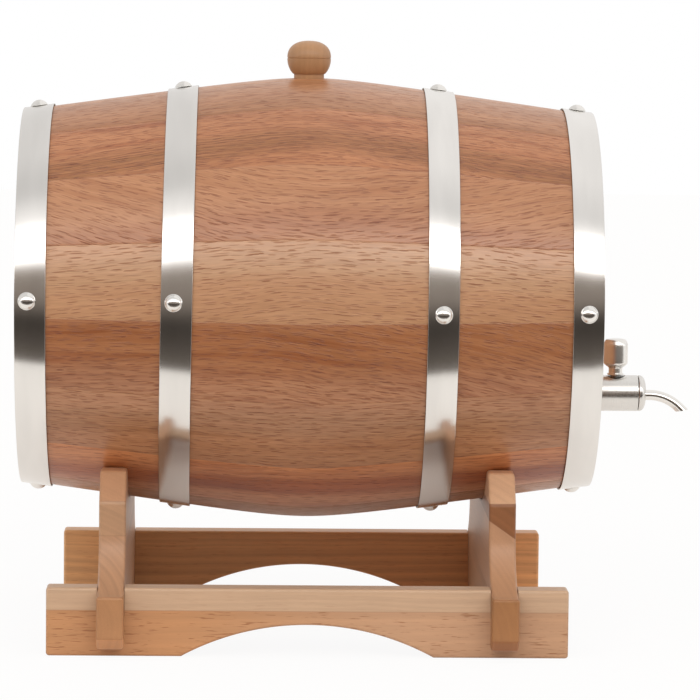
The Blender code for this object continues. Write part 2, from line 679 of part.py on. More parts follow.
def valve_section():
    """Half section of the valve plug and its stem, with Z = 0 on the tap's axis."""
    groove = SEAL_THICKNESS + GAP
    floor = VALVE_BORE_RADIUS - SEAL_FREEDOM - 2 * SEAL_THICKNESS - GAP
    grooves = []
    for level in (-SEAL_HEIGHT, SEAL_HEIGHT):
        grooves += [(VALVE_RADIUS, level - groove), (floor, level - groove),
                    (floor, level + groove), (VALVE_RADIUS, level + groove)]
    top = TAP_RADIUS + GAP + STEM_GRIP
    return ([(0, -VALVE_DEPTH), (VALVE_RADIUS, -VALVE_DEPTH)] + grooves
            + [(VALVE_RADIUS, VALVE_SHOULDER), (STEM_RADIUS, VALVE_SHOULDER), (STEM_RADIUS, top), (0, top)])


def seal_section(level):
    """Half section of an O-ring of the plug."""
    ring = VALVE_BORE_RADIUS - SEAL_FREEDOM - SEAL_THICKNESS
    turns = [2 * math.pi * side / SEAL_SIDES for side in range(SEAL_SIDES)]
    return [(ring + SEAL_THICKNESS * math.cos(turn), level + SEAL_THICKNESS * math.sin(turn))
            for turn in turns]


def knob_section():
    """Half section of the knob: foot, neck, taper, grip and chamfered crown, with a hole for the stem."""
    foot = TAP_RADIUS + GAP
    neck = foot + KNOB_FOOT_HEIGHT
    taper = neck + KNOB_NECK_HEIGHT
    grip = taper + KNOB_TAPER
    crown = grip + KNOB_GRIP_HEIGHT
    hole = STEM_RADIUS + GAP
    return [
        (hole, foot), (KNOB_FOOT_RADIUS, foot), (KNOB_FOOT_RADIUS, neck), (KNOB_NECK_RADIUS, neck),
        (KNOB_NECK_RADIUS, taper), (KNOB_RADIUS, grip), (KNOB_RADIUS, crown),
        (KNOB_CROWN_RADIUS, crown + KNOB_CROWN_HEIGHT), (0, crown + KNOB_CROWN_HEIGHT),
        (0, foot + STEM_GRIP + GAP), (hole, foot + STEM_GRIP + GAP),
    ]


def turned_shell(profile, sides=ROUND_SIDES):
    """A turned piece with a blind hole: its closed half section touches the axis along one edge."""
    bm = bmesh.new()
    points = [bm.verts.new((radius, 0, height)) for radius, height in profile]
    pairs = list(zip(points, points[1:] + points[:1]))
    edges = [bm.edges.new(pair) for pair in pairs if pair[0].co.x or pair[1].co.x]
    bmesh.ops.spin(bm, geom=points + edges, axis=(0, 0, 1), cent=(0, 0, 0),
                   angle=2 * math.pi, steps=sides, use_merge=True)
    bmesh.ops.remove_doubles(bm, verts=bm.verts, dist=MERGE_SHARE * GAP)
    bmesh.ops.recalc_face_normals(bm, faces=bm.faces)
    return bm


def nut_mesh():
    return rod(NUT_ACROSS_FLATS / 2 / math.cos(math.pi / NUT_SIDES), 0, NUT_THICKNESS, NUT_SIDES)


def make_tap(cask, head_boards):
    """The tap through its hole in the front head, with the valve on its own upright axis."""
    tap = empty("tap", cask, (0, 0, -TAP_DROP))
    valve = empty("valve_axis", tap, (VALVE_X, 0, 0))
    hole = cutter("tap_hole", rod(TAIL_RADIUS + GAP, HEAD_BACK_X - OVERRUN, HEAD_FACE_X + OVERRUN),
                  tap, rotation=ALONG_X)
    for plank in head_boards:
        cut(plank, hole)
    body = piece("tap_body", turned(tap_body_section()), tap, BRUSHED_STEEL, rotation=ALONG_X)
    cut(body, cutter("valve_bore", rod(VALVE_BORE_RADIUS, -VALVE_DEPTH - GAP, TAP_RADIUS + OVERRUN), valve))
    sag = (0, 0, -SPOUT_SAG)
    nose = piece("tap_nose", turned(nose_section()), tap, BRUSHED_STEEL, rotation=ALONG_X)
    cut(nose, cutter("nose_hole", turned(nose_hole_section()), tap, sag, ALONG_X))
    piece("tap_spout", spout_mesh(), tap, POLISHED_STEEL, sag)
    inner = TAIL_RADIUS + GAP
    washer = ring_section(inner, OUTER_WASHER_RADIUS, 0, WASHER_THICKNESS, WASHER_ROUNDING)
    piece("tap_outer_washer", turned(washer), tap, RUBBER, (HEAD_FACE_X + GAP, 0, 0), ALONG_X)
    washer = ring_section(inner, INNER_WASHER_RADIUS, 0, WASHER_THICKNESS, WASHER_ROUNDING)
    washer_x = HEAD_BACK_X - GAP - WASHER_THICKNESS
    piece("tap_inner_washer", turned(washer), tap, RUBBER, (washer_x, 0, 0), ALONG_X)
    nut_x = washer_x - GAP - NUT_THICKNESS
    nut = piece("tap_lock_nut", nut_mesh(), tap, BRUSHED_STEEL, (nut_x, 0, 0), ALONG_X)
    ease(nut, NUT_EASE, 1)
    cut(nut, cutter("nut_bore", rod(inner, nut_x - OVERRUN, HEAD_BACK_X), tap, rotation=ALONG_X))
    plug = piece("tap_valve_plug", turned(valve_section()), valve, POLISHED_STEEL)
    across = rod(FLOW_RADIUS, -VALVE_RADIUS - OVERRUN, VALVE_RADIUS + OVERRUN, SMALL_SIDES)
    cut(plug, cutter("plug_flow_bore", across, valve, rotation=(math.pi / 2, 0, 0)))
    piece("tap_lower_seal", turned(seal_section(-SEAL_HEIGHT)), valve, RUBBER)
    piece("tap_upper_seal", turned(seal_section(SEAL_HEIGHT)), valve, RUBBER)
    gland = ring_section(STEM_RADIUS + GAP, VALVE_RADIUS, VALVE_SHOULDER + GAP, TAP_RADIUS - GLAND_INSET,
                         TAP_EDGE_EASE)
    piece("tap_gland_ring", turned(gland), valve, BRUSHED_STEEL)
    piece("tap_knob", turned_shell(knob_section()), valve, POLISHED_STEEL)


# Stand

def arc(centre, radius, start, end, steps):
    """Points round part of a circle, from one angle to another."""
    turns = [start + (end - start) * i / steps for i in range(steps + 1)]
    return [(centre[0] + radius * math.cos(turn), centre[1] + radius * math.sin(turn)) for turn in turns]


def rail_outline():
    """A rail seen from the side, with the arch cut out of its underside."""
    half = RAIL_LENGTH / 2
    radius = (ARCH_WIDTH ** 2 / 4 + ARCH_HEIGHT ** 2) / (2 * ARCH_HEIGHT)
    reach = math.asin(ARCH_WIDTH / 2 / radius)
    arch = arc((0, ARCH_HEIGHT - radius), radius, math.pi / 2 + reach, math.pi / 2 - reach, ARCH_STEPS)
    return [(-half, 0)] + arch + [(half, 0), (half, RAIL_HEIGHT), (-half, RAIL_HEIGHT)]


def saddle_outline():
    """A saddle seen along the cask: cradle, horns, flared flanks and chamfered feet."""
    half = SADDLE_SPAN / 2
    lean = math.acos(1 - HORN_RISE / CRADLE_RADIUS)
    cradle = arc((0, AXIS_HEIGHT), CRADLE_RADIUS, -math.pi / 2 - lean, -math.pi / 2 + lean, CRADLE_STEPS)
    horn = cradle[-1][0] + HORN_WIDTH
    flank = horn + HORN_CHAMFER
    flank_top = HORN_HEIGHT - HORN_CHAMFER
    flank_foot = flank_top - HORN_FLANK
    flare = [(flank + (half - flank) * (1 - math.cos(math.pi / 2 * i / FLARE_STEPS)),
              flank_foot - (flank_foot - FOOT_HEIGHT) * math.sin(math.pi / 2 * i / FLARE_STEPS))
             for i in range(FLARE_STEPS + 1)]
    side = [(horn, HORN_HEIGHT), (flank, flank_top)] + flare
    side += [(half, SADDLE_CLEARANCE + FOOT_CHAMFER), (half - FOOT_CHAMFER, SADDLE_CLEARANCE)]
    other = [(-y, z) for y, z in reversed(side)]
    return cradle + side + other


def make_stand(stand):
    """Two rails along the cask and two saddles across it, halved into each other."""
    notches = []
    slots = []
    for x in (-SADDLE_X, SADDLE_X):
        half = SADDLE_THICKNESS / 2 + GAP
        notches.append(block((x - half, -RAIL_THICKNESS, HALVING_HEIGHT),
                             (x + half, RAIL_THICKNESS, RAIL_HEIGHT + OVERRUN)))
    for y in (-RAIL_Y, RAIL_Y):
        half = RAIL_THICKNESS / 2 + GAP
        slots.append(block((-SADDLE_THICKNESS, y - half, 0),
                           (SADDLE_THICKNESS, y + half, HALVING_HEIGHT + GAP)))
    slot_tools = gathered(slots)
    notch_tools = gathered(notches)
    for name, y in (("left_rail", -RAIL_Y), ("right_rail", RAIL_Y)):
        rail = piece(name, board(rail_outline(), RAIL_THICKNESS), stand, STAND_WOOD, (0, y, 0))
        ease(rail, WOOD_EASE, WOOD_EASE_STEPS)
        cut(rail, cutter(f"{name}_notches", notch_tools.copy(), stand, (0, y, 0)))
    for name, x in (("rear_saddle", -SADDLE_X), ("front_saddle", SADDLE_X)):
        saddle = piece(name, board(saddle_outline(), SADDLE_THICKNESS), stand, STAND_WOOD, (x, 0, 0),
                       (0, 0, math.pi / 2))
        ease(saddle, WOOD_EASE, WOOD_EASE_STEPS)
        cut(saddle, cutter(f"{name}_slots", slot_tools.copy(), stand, (x, 0, 0)))
    slot_tools.free()
    notch_tools.free()


def make_cask(cask):
    staves = make_staves(cask)
    make_head(cask, "rear", -1)
    front_boards = make_head(cask, "front", 1)
    make_hoop(cask, staves, "rear_head", -HEAD_HOOP_X, 0, REAR_NAIL_TURN, REAR_NAIL_SHIFT)
    make_hoop(cask, staves, "rear_bilge", -BILGE_HOOP_X, REAR_BILGE_HOOP_LEAN, REAR_NAIL_TURN,
              REAR_NAIL_SHIFT)
    make_hoop(cask, staves, "front_bilge", BILGE_HOOP_X, FRONT_BILGE_HOOP_LEAN)
    make_hoop(cask, staves, "front_head", HEAD_HOOP_X)
    make_bung(cask, staves)
    make_tap(cask, front_boards)


def main():
    for obj in list(bpy.data.objects):
        bpy.data.objects.remove(obj)
    stand = empty("stand", None, (CASK_X, 0, 0))
    make_stand(stand)
    make_cask(empty("cask", stand, (0, 0, AXIS_HEIGHT)))
    for obj in bpy.data.objects:
        if obj.type == "MESH" and not obj.hide_render:
            even_shading(obj)


main()
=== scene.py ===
import math

import bmesh
import bpy
from mathutils import Matrix, Vector


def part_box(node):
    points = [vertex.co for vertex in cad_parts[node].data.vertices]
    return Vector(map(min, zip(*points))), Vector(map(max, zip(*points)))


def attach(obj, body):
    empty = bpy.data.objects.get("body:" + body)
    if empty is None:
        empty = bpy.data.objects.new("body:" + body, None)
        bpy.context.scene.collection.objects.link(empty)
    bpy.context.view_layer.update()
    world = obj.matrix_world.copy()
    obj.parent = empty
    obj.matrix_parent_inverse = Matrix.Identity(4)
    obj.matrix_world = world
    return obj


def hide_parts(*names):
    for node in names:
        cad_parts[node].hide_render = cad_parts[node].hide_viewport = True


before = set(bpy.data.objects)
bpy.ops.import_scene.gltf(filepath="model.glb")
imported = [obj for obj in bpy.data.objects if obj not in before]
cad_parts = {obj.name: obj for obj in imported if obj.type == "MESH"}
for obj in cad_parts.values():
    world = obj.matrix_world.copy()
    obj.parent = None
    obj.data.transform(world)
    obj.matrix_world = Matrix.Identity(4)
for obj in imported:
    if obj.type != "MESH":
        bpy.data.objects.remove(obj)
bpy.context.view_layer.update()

# The looks of the oak cask dispenser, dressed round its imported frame. Lengths are in metres, the tap
# is towards +X, Z is up, and the camera looks at the side that faces -Y.

# Sizes that the frame was built from. Three were read again in the photograph and are smaller here:
# BUNG_CROWN_HEIGHT, BUNG_NECK_HEIGHT and SADDLE_CLEARANCE.
GAP = 0.0003
BILGE_RADIUS = 0.135
END_RADIUS = 0.114
BILGE_SOFTNESS = 0.0041
HALF_LENGTH = 0.174
STAVE_THICKNESS = 0.015
STAVE_COUNT = 17
FIRST_SEAM_ANGLE = math.radians(-2.4)
STEPS_PER_STAVE = 3
CHIME_LIP = 0.007
CHIME_BEVEL = 0.010
HEAD_RECESS = 0.020
HEAD_THICKNESS = 0.015
HEAD_TONGUE = 0.005
HEAD_BEVEL = 0.014
CROZE_DEPTH = 0.004
HOOP_WIDTH = 0.0185
HOOP_THICKNESS = 0.001
HEAD_HOOP_OVERHANG = 0.0005
BILGE_HOOP_INSET = 0.0953
REAR_BILGE_HOOP_LEAN = 0.014
FRONT_BILGE_HOOP_LEAN = 0.007
REAR_NAIL_TURN = math.radians(2.6)
REAR_NAIL_SHIFT = 0.0017
LAP_STEPS = 2
NAIL_COUNT = 4
NAIL_HEAD_RADIUS = 0.0053
NAIL_HEAD_HEIGHT = 0.0035
BUNG_KNOB_RADIUS = 0.0134
BUNG_CROWN_HEIGHT = 0.0102
BUNG_UNDERCURVE = 0.0135
BUNG_KNOB_FOOT = 0.0096
BUNG_NECK_RADIUS = 0.0092
BUNG_NECK_HEIGHT = 0.0030
BUNG_STEP = 0.0005
BUNG_GROOVE = 0.0004
BUNG_PLUG_LENGTH = 0.021
BUNG_TIP_RADIUS = 0.0084
BUNG_ROUNDNESS = 2.3
TAP_DROP = 0.058
TAP_RADIUS = 0.0111
TAP_LENGTH = 0.0480
TAIL_RADIUS = 0.00795
TAIL_REACH = 0.012
TAIL_CHAMFER = 0.0008
FLOW_RADIUS = 0.003
WASHER_THICKNESS = 0.0025
OUTER_WASHER_RADIUS = 0.0116
NOSE_SPIGOT_RADIUS = 0.0066
NOSE_SPIGOT_LENGTH = 0.0042
NOSE_RIM = 0.0008
NOSE_ROUNDING = 0.0038
NOSE_TIP_RADIUS = 0.0052
SPOUT_RADIUS = 0.003175
SPOUT_BORE_RADIUS = 0.0024
SPOUT_SEAT = 0.003
SPOUT_SAG = 0.0011
SPOUT_STRAIGHT = 0.0026
SPOUT_BEND_RADIUS = 0.026
SPOUT_BEND_ANGLE = math.radians(43)
SPOUT_DROP = 0.0095
SPOUT_MOUTH_TILT = math.radians(11)
VALVE_SETBACK = 0.0137
VALVE_BORE_RADIUS = 0.0061
VALVE_DEPTH = 0.0076
VALVE_SHOULDER = 0.0068
STEM_RADIUS = 0.003
STEM_GRIP = 0.010
GLAND_RADIUS = 0.0058
GLAND_INSET = 0.0003
KNOB_RADIUS = 0.0075
KNOB_FOOT_RADIUS = 0.0050
KNOB_FOOT_HEIGHT = 0.0010
KNOB_NECK_RADIUS = 0.0042
KNOB_NECK_HEIGHT = 0.0033
KNOB_TAPER = 0.0027
KNOB_GRIP_HEIGHT = 0.0124
KNOB_CROWN_RADIUS = 0.0061
KNOB_CROWN_HEIGHT = 0.0027
AXIS_HEIGHT = 0.2023
RAIL_OVERHANG = 0.030
RAIL_HEIGHT = 0.0405
RAIL_THICKNESS = 0.018
RAIL_SETBACK = 0.017
ARCH_WIDTH = 0.149
ARCH_HEIGHT = 0.019
SADDLE_INSET = 0.066
SADDLE_THICKNESS = 0.016
SADDLE_SPAN = 0.308
SADDLE_CLEARANCE = 0.0055
HORN_RISE = 0.0254
HORN_WIDTH = 0.016
HORN_CHAMFER = 0.017
HORN_FLANK = 0.020
FOOT_HEIGHT = 0.0375
FOOT_CHAMFER = 0.007
HALVING_HEIGHT = 0.0246
WOOD_EASE = 0.0018

STAVE_ANGLE = 2 * math.pi / STAVE_COUNT
STEP_ANGLE = STAVE_ANGLE / STEPS_PER_STAVE
BILGE_RISE = BILGE_RADIUS - END_RADIUS
FLANK_SLOPE = math.sqrt(BILGE_RISE * (BILGE_RISE + 2 * BILGE_SOFTNESS)) / HALF_LENGTH
HEAD_X = HALF_LENGTH - HEAD_RECESS - HEAD_THICKNESS / 2
HEAD_BEVEL_SLOPE = (HEAD_THICKNESS - HEAD_TONGUE) / 2 / HEAD_BEVEL
HEAD_FACE_X = HALF_LENGTH - HEAD_RECESS
HEAD_BACK_X = HEAD_FACE_X - HEAD_THICKNESS
HEAD_HOOP_X = HALF_LENGTH + HEAD_HOOP_OVERHANG - HOOP_WIDTH / 2
BILGE_HOOP_X = HALF_LENGTH - BILGE_HOOP_INSET
TAP_SHOULDER_X = HEAD_FACE_X + GAP + WASHER_THICKNESS + GAP
TAP_END_X = TAP_SHOULDER_X + TAP_LENGTH
TAIL_END_X = HEAD_BACK_X - TAIL_REACH
VALVE_X = TAP_END_X - VALVE_SETBACK
NOSE_FRONT_X = TAP_END_X + GAP + NOSE_RIM + NOSE_ROUNDING
SPOUT_BEND_X = NOSE_FRONT_X + SPOUT_STRAIGHT
SPOUT_BEND_DROP = SPOUT_BEND_RADIUS * (1 - math.cos(SPOUT_BEND_ANGLE))
SPOUT_TIP_X = (SPOUT_BEND_X + SPOUT_BEND_RADIUS * math.sin(SPOUT_BEND_ANGLE)
               + (SPOUT_DROP - SPOUT_BEND_DROP) / math.tan(SPOUT_BEND_ANGLE))
SPOUT_CUT_ANGLE = SPOUT_BEND_ANGLE + SPOUT_MOUTH_TILT
RAIL_Y = SADDLE_SPAN / 2 - RAIL_SETBACK - RAIL_THICKNESS / 2
SADDLE_INNER_X = HALF_LENGTH - SADDLE_INSET
SADDLE_X = SADDLE_INNER_X + SADDLE_THICKNESS / 2
RAIL_LENGTH = 2 * (SADDLE_INNER_X + SADDLE_THICKNESS + RAIL_OVERHANG)

bung_low, bung_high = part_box("bung")
CASK = Vector(((bung_low.x + bung_high.x) / 2, 0, AXIS_HEIGHT))
CREST = CASK + Vector((0, 0, BILGE_RADIUS))
TAP = CASK - Vector((0, 0, TAP_DROP))
STAND = Vector((CASK.x, 0, 0))
UPRIGHT = Matrix.Identity(4)
ALONG_X = Matrix.Rotation(math.pi / 2, 4, "Y")


def outside_radius(x):
    return BILGE_RADIUS + BILGE_SOFTNESS - math.hypot(BILGE_SOFTNESS, FLANK_SLOPE * x)


def outside_slope(x):
    return -FLANK_SLOPE ** 2 * x / math.hypot(BILGE_SOFTNESS, FLANK_SLOPE * x)


def inside_radius(x):
    return outside_radius(x) - STAVE_THICKNESS


CROZE_RADIUS = inside_radius(HEAD_X) + CROZE_DEPTH
HEAD_RADIUS = CROZE_RADIUS - GAP
CRADLE_RADIUS = outside_radius(SADDLE_INNER_X + WOOD_EASE) + GAP
HORN_HEIGHT = AXIS_HEIGHT - CRADLE_RADIUS + HORN_RISE


# Camera

CAMERA_LENS = 220.714
CAMERA_SENSOR = 36
CAMERA_REACH = 50
CAMERA_PLACE = Vector((-0.042043, -2.63988, 0.408763))
CAMERA_YAW, CAMERA_PITCH, CAMERA_ROLL = 0.0261121, 0.0902788, 0.0102256


def point_camera():
    """The photograph's viewpoint: a long lens, almost square to the cask's side and a little above it."""
    yaw, pitch, roll = CAMERA_YAW, CAMERA_PITCH, CAMERA_ROLL
    ahead = Vector((math.sin(yaw) * math.cos(pitch), math.cos(yaw) * math.cos(pitch), -math.sin(pitch)))
    level = Vector((math.cos(yaw), -math.sin(yaw), 0))
    rise = level.cross(ahead)
    right = level * math.cos(roll) + rise * math.sin(roll)
    up = rise * math.cos(roll) - level * math.sin(roll)
    data = bpy.data.cameras.new("photo_camera")
    data.sensor_width = CAMERA_SENSOR
    data.lens = CAMERA_LENS
    data.clip_end = CAMERA_REACH
    camera = bpy.data.objects.new("photo_camera", data)
    bpy.context.scene.collection.objects.link(camera)
    facing = Matrix((right, up, -ahead)).transposed().to_4x4()
    camera.matrix_world = Matrix.Translation(STAND + CAMERA_PLACE) @ facing
    bpy.context.scene.camera = camera


point_camera()
bpy.context.scene.view_settings.view_transform = "Standard"


# Node trees

class Socket:
    """A node's output that takes part in arithmetic. Sums of numbers become Math nodes."""

    def __init__(self, tree, output):
        self.tree = tree
        self.output = output

    def maths(self, operation, *values):
        return self.tree.add("ShaderNodeMath", {"operation": operation}, dict(enumerate(values)))

    def __add__(self, other):
        return self.maths("ADD", self, other)

    def __radd__(self, other):
        return self.maths("ADD", other, self)

    def __sub__(self, other):
        return self.maths("SUBTRACT", self, other)

    def __rsub__(self, other):
        return self.maths("SUBTRACT", other, self)

    def __mul__(self, other):
        return self.maths("MULTIPLY", self, other)

    def __rmul__(self, other):
        return self.maths("MULTIPLY", other, self)

    def __truediv__(self, other):
        return self.maths("DIVIDE", self, other)

    def __rtruediv__(self, other):
        return self.maths("DIVIDE", other, self)

    def __pow__(self, other):
        return self.maths("POWER", self, other)

    def __neg__(self):
        return self.maths("MULTIPLY", self, -1)

    def alone(self, operation):
        """An operation on this number by itself."""
        return self.maths(operation, self)

    def most(self, other):
        return self.maths("MAXIMUM", self, other)

    def other(self, out):
        """Another output of the same node."""
        return Socket(self.tree, self.output.node.outputs[out])

    def parts(self):
        """The three numbers of a vector."""
        first = self.tree.add("ShaderNodeSeparateXYZ", {}, {0: self})
        return [first.other(out) for out in range(3)]


class Tree:
    """A shader or geometry tree that is grown one node at a time."""

    def __init__(self, nodes):
        self.nodes = nodes

    def add(self, kind, settings=None, inputs=None, out=0):
        """A node of a kind: its settings first, then the values or links of its inputs."""
        node = self.nodes.nodes.new(kind)
        for name, value in (settings or {}).items():
            if name == "stops":
                self.set_stops(node.color_ramp, value)
            else:
                setattr(node, name, value)
        for name, value in (inputs or {}).items():
            socket = node.inputs[name]
            if isinstance(value, Socket):
                self.nodes.links.new(value.output, socket)
            else:
                socket.default_value = (*value, 1) if socket.type == "RGBA" else value
        return Socket(self, node.outputs[out]) if node.outputs else node

    @staticmethod
    def set_stops(ramp, stops):
        while len(ramp.elements) < len(stops):
            ramp.elements.new(1)
        for element, (place, colour) in zip(ramp.elements, stops):
            element.position = place
            element.color = (*colour, 1)

    def vector(self, x, y, z):
        return self.add("ShaderNodeCombineXYZ", {}, {0: x, 1: y, 2: z})

    def step(self, value, low, high):
        """A smooth rise from 0 to 1 as the value goes from low to high."""
        return self.add("ShaderNodeMapRange", {"interpolation_type": "SMOOTHSTEP"},
                        {"Value": value, "From Min": low, "From Max": high})

    def spot(self):
        """The place on the piece."""
        return self.add("ShaderNodeTexCoord", {}, {}, "Object")

    def board_place(self, place, turn):
        """The place on a board whose grain runs along X once it is moved to place and turned."""
        return self.add("ShaderNodeMapping", {"vector_type": "TEXTURE"},
                        {"Vector": self.spot(), "Location": place, "Rotation": turn})

    def attribute(self, name):
        return self.add("ShaderNodeAttribute", {"attribute_name": name}, {}, "Vector")

    def ray(self, kind):
        """Whether the ray that meets the surface is of a kind."""
        return self.add("ShaderNodeLightPath", {}, {}, f"Is {kind} Ray")

    def scaled(self, colour, amount):
        return self.add("ShaderNodeVectorMath", {"operation": "SCALE"}, {0: colour, "Scale": amount})

    def blend(self, share, first, second, how="MIX"):
        """Two colours mixed."""
        return self.add("ShaderNodeMix", {"data_type": "RGBA", "blend_type": how},
                        {0: share, 6: first, 7: second}, 2)

    def mixed(self, share, first, second):
        """Two shaders mixed."""
        return self.add("ShaderNodeMixShader", {}, {0: share, 1: first, 2: second})

    def noise(self, x, y, z, detail=2.0, roughness=0.5):
        """Soft noise around 0.5, with features about 1 wide."""
        return self.add("ShaderNodeTexNoise", {"noise_dimensions": "3D"}, {
            "Vector": self.vector(x, y, z), "Scale": 1.0, "Detail": detail, "Roughness": roughness})


def bare_tree(owner):
    """The emptied node tree of a material or a world."""
    owner.use_nodes = True
    owner.node_tree.nodes.clear()
    return Tree(owner.node_tree)


def finish(name, grow, **constants):
    """A material whose varying inputs come from grow(tree), and whose constants are set on the shader."""
    material = bpy.data.materials.new(name)
    tree = bare_tree(material)
    varying = grow(tree)
    inputs = {key.replace("_", " "): value for key, value in constants.items()}
    shader = tree.add("ShaderNodeBsdfPrincipled", {}, {**inputs, **varying})
    tree.add("ShaderNodeOutputMaterial", {}, {"Surface": shader})
    return material


def bump(tree, height, distance):
    return tree.add("ShaderNodeBump", {}, {"Strength": 1.0, "Distance": distance, "Height": height})


# Wood

PORE_PITCH = 0.013
PORE_WIDTH = 0.00038
SECOND_PORE_GAP = 0.77
BOW_LENGTH = 0.05
BAND_REACH = 0.010
GLUE_LINE = 0.00025
EDGE_BLUR = 0.0003

OAK_TAN = (0.562, 0.278, 0.136)
OAK_PALE = (0.532, 0.300, 0.164)
OAK_RED = (0.505, 0.200, 0.078)
EARLY_WOOD = (0.74, 0.58, 0.46)
PORE_BROWN = (0.50, 0.28, 0.12)
FLECK_BROWN = (0.62, 0.48, 0.36)
GLUE_BROWN = (0.60, 0.48, 0.38)

# For red, green and blue: how far the fibres, a dark band and a red band change it
CHANNEL_SHARES = ((0.54, 0.25, 0.10), (0.62, 0.27, 0.19), (0.76, 0.38, 0.27))


def pore_rows(tree, along, lane, seed, gap):
    """Dark pores that lie along the lanes, gap apart: 1 inside a pore, 0 in the wood round it."""
    place_x, place_y = along / PORE_PITCH + seed, lane / gap + seed * 1.37
    cell = tree.add("ShaderNodeTexVoronoi", {"voronoi_dimensions": "2D"},
                    {"Vector": tree.vector(place_x, place_y, 0), "Scale": 1.0}, "Position")
    middle_x, middle_y, _ = cell.parts()
    length, width, depth = cell.other("Color").parts()
    aside = (place_x - middle_x) / (0.16 + length * 0.32)
    over = (place_y - middle_y) * gap / (PORE_WIDTH * (0.6 + width * 0.7))
    inside = 1 - tree.step(aside * aside + over * over, 0.2, 1.0)
    return inside * (0.40 + depth * 0.60)


def oak_look(tree, grain, board, cut, band):
    """Colour, roughness and surface of oiled oak.

    Grain is (along, across, down) in the board. Board is its (seed, tone, redness), cut is the
    (slant of its grain, gap between its rows of pores, how far the grain bows), and band is the
    (place across the board, darkness, redness) of the one broad band in it. On some staves that band
    is partly painted light.
    """
    along, across, down = grain.parts()
    seed, tone, redness = board
    slant, gap, bow = cut
    band_place, band_dark, band_red = band
    wander = tree.noise(along * 14, across * 22 + down * 15, seed) - 0.5
    bowed = (along * along + BOW_LENGTH ** 2) ** 0.5 - BOW_LENGTH
    lane = across + down * 0.3 - along * slant + bowed * bow + wander * 0.009
    ring = tree.noise(along * 5, lane * 380, seed + 3.3)
    fibre = tree.noise(along * 70, lane * 1050, seed + 5.9, 3.0, 0.6)
    cloud = tree.noise(along * 12, lane * 52, seed + 1.7, 3.0, 0.55)
    streak = tree.noise(along * 9, lane * 120, seed + 8.1, 4.0, 0.65)
    first = pore_rows(tree, along, lane, seed, gap)
    second = pore_rows(tree, along, lane, seed + 31.7, gap * SECOND_PORE_GAP)
    pore = first.most(second * 0.75)
    early = tree.step(ring, 0.40, 0.62)
    aside = across + bowed * 0.1 + wander * 0.004 - band_place
    inside = 1 - tree.step(aside.alone("ABSOLUTE"), BAND_REACH * 0.4, BAND_REACH * 1.4)
    line = tree.noise(along * 6, lane * 1100, seed + 6.1)
    dark, red = inside * band_dark, inside * band_red
    lined_dark = dark * (0.55 + 0.9 * tree.step(line, 0.38, 0.62))
    tan = tree.blend(cloud, OAK_TAN, OAK_PALE)
    warm = tree.blend(redness, tan, OAK_RED)
    light = tone * (1.04 + (cloud - 0.5) * 0.34)
    spread = fibre - 0.5
    parts = [(light + tone * spread * fibre_share) * (1 - lined_dark * dark_share - red * red_share)
             for fibre_share, dark_share, red_share in CHANNEL_SHARES]
    clean = tree.add("ShaderNodeVectorMath", {"operation": "MULTIPLY"}, {0: warm, 1: tree.vector(*parts)})
    shade = early * (0.14 + redness * 0.36) + tree.step(streak, 0.50, 0.66) * redness * 0.75
    lined = tree.blend(shade, clean, EARLY_WOOD, "MULTIPLY")
    colour = tree.blend(pore * 0.90, lined, PORE_BROWN, "MULTIPLY")
    return {"Base Color": colour, "Roughness": 0.30 + pore * 0.2 + (fibre - 0.5) * 0.12,
            "Normal": bump(tree, fibre * 0.3 - pore, 0.00012)}


def stave_oak():
    def grow(tree):
        grain, board, cut, band = (tree.attribute(name) for name in ("grain", "board", "cut", "band"))
        return oak_look(tree, grain, board.parts(), cut.parts(), band.parts())
    return finish("cask_oak", grow, Specular_IOR_Level=0.8)


def board_oak(name, place, turn, board, cut):
    """Oak for one straight board, whose own grain runs along X once it is moved to place and turned."""
    def grow(tree):
        return oak_look(tree, tree.board_place(place, turn), board, cut, (0, 0, 0))
    return finish(name, grow)


def stand_board(name, place, turn, pith, strips):
    """Close-grained wood of the stand, with growth rings round a pith that runs along the board.

    Strips are the pieces that it is glued up from. On the front saddle two strips are also partly painted
    light and shade.
    """
    def grow(tree):
        along, across, down = tree.board_place(place, turn).parts()
        end = tree.step(along, -0.09, 0.06)
        number = line = 0
        colour = contrast = flecks = None
        for edge, lean, start_colour, end_colour, rings, share in strips:
            own = tree.blend(end, start_colour, end_colour)
            if colour is None:
                colour, contrast, flecks = own, rings, share
                continue
            height = across + down * lean
            above = tree.step(height, edge - EDGE_BLUR, edge + EDGE_BLUR)
            colour = tree.blend(above, colour, own)
            contrast, flecks = contrast + above * (rings - contrast), flecks + above * (share - flecks)
            number = number + above * 3.7
            line = line + height.maths("COMPARE", height, edge, GLUE_LINE)
        seed = number + 10 * pith[0] + place[0] * 40
        wander = tree.noise(along * 7, across * 14, down * 14 + seed) - 0.5
        aside, below = across - pith[0], down - pith[1]
        radius = (aside * aside + below * below) ** 0.5 + wander * 0.010
        ring = tree.noise(radius * 400, along * 1.5, seed)
        fibre = tree.noise(along * 70, across * 1500, down * 1500 + seed)
        streak = tree.noise(along * 120, across * 1300, down * 900 + seed, 1.0)
        cloud = tree.noise(along * 9, across * 46, down * 46 + seed, 3.0)
        light = 1.0 + (ring - 0.5) * contrast + (cloud - 0.5) * 0.24 + (fibre - 0.5) * 0.16
        clean = tree.scaled(colour, light)
        fleck = tree.step(streak, 0.60, 0.74) * flecks
        marked = tree.blend(fleck, clean, FLECK_BROWN, "MULTIPLY")
        glued = tree.blend(line * 0.35, marked, GLUE_BROWN, "MULTIPLY")
        return {"Base Color": glued, "Roughness": 0.34 + fibre * 0.14,
                "Normal": bump(tree, fibre * 0.4 + ring * 0.6 - fleck, 0.00006)}
    return finish(name, grow)


# Metal and rubber

STEEL_PALE = (0.86, 0.85, 0.83)
HOOP_EDGE_BURR_AND_SHADE = (0.22, 0.19, 0.16)


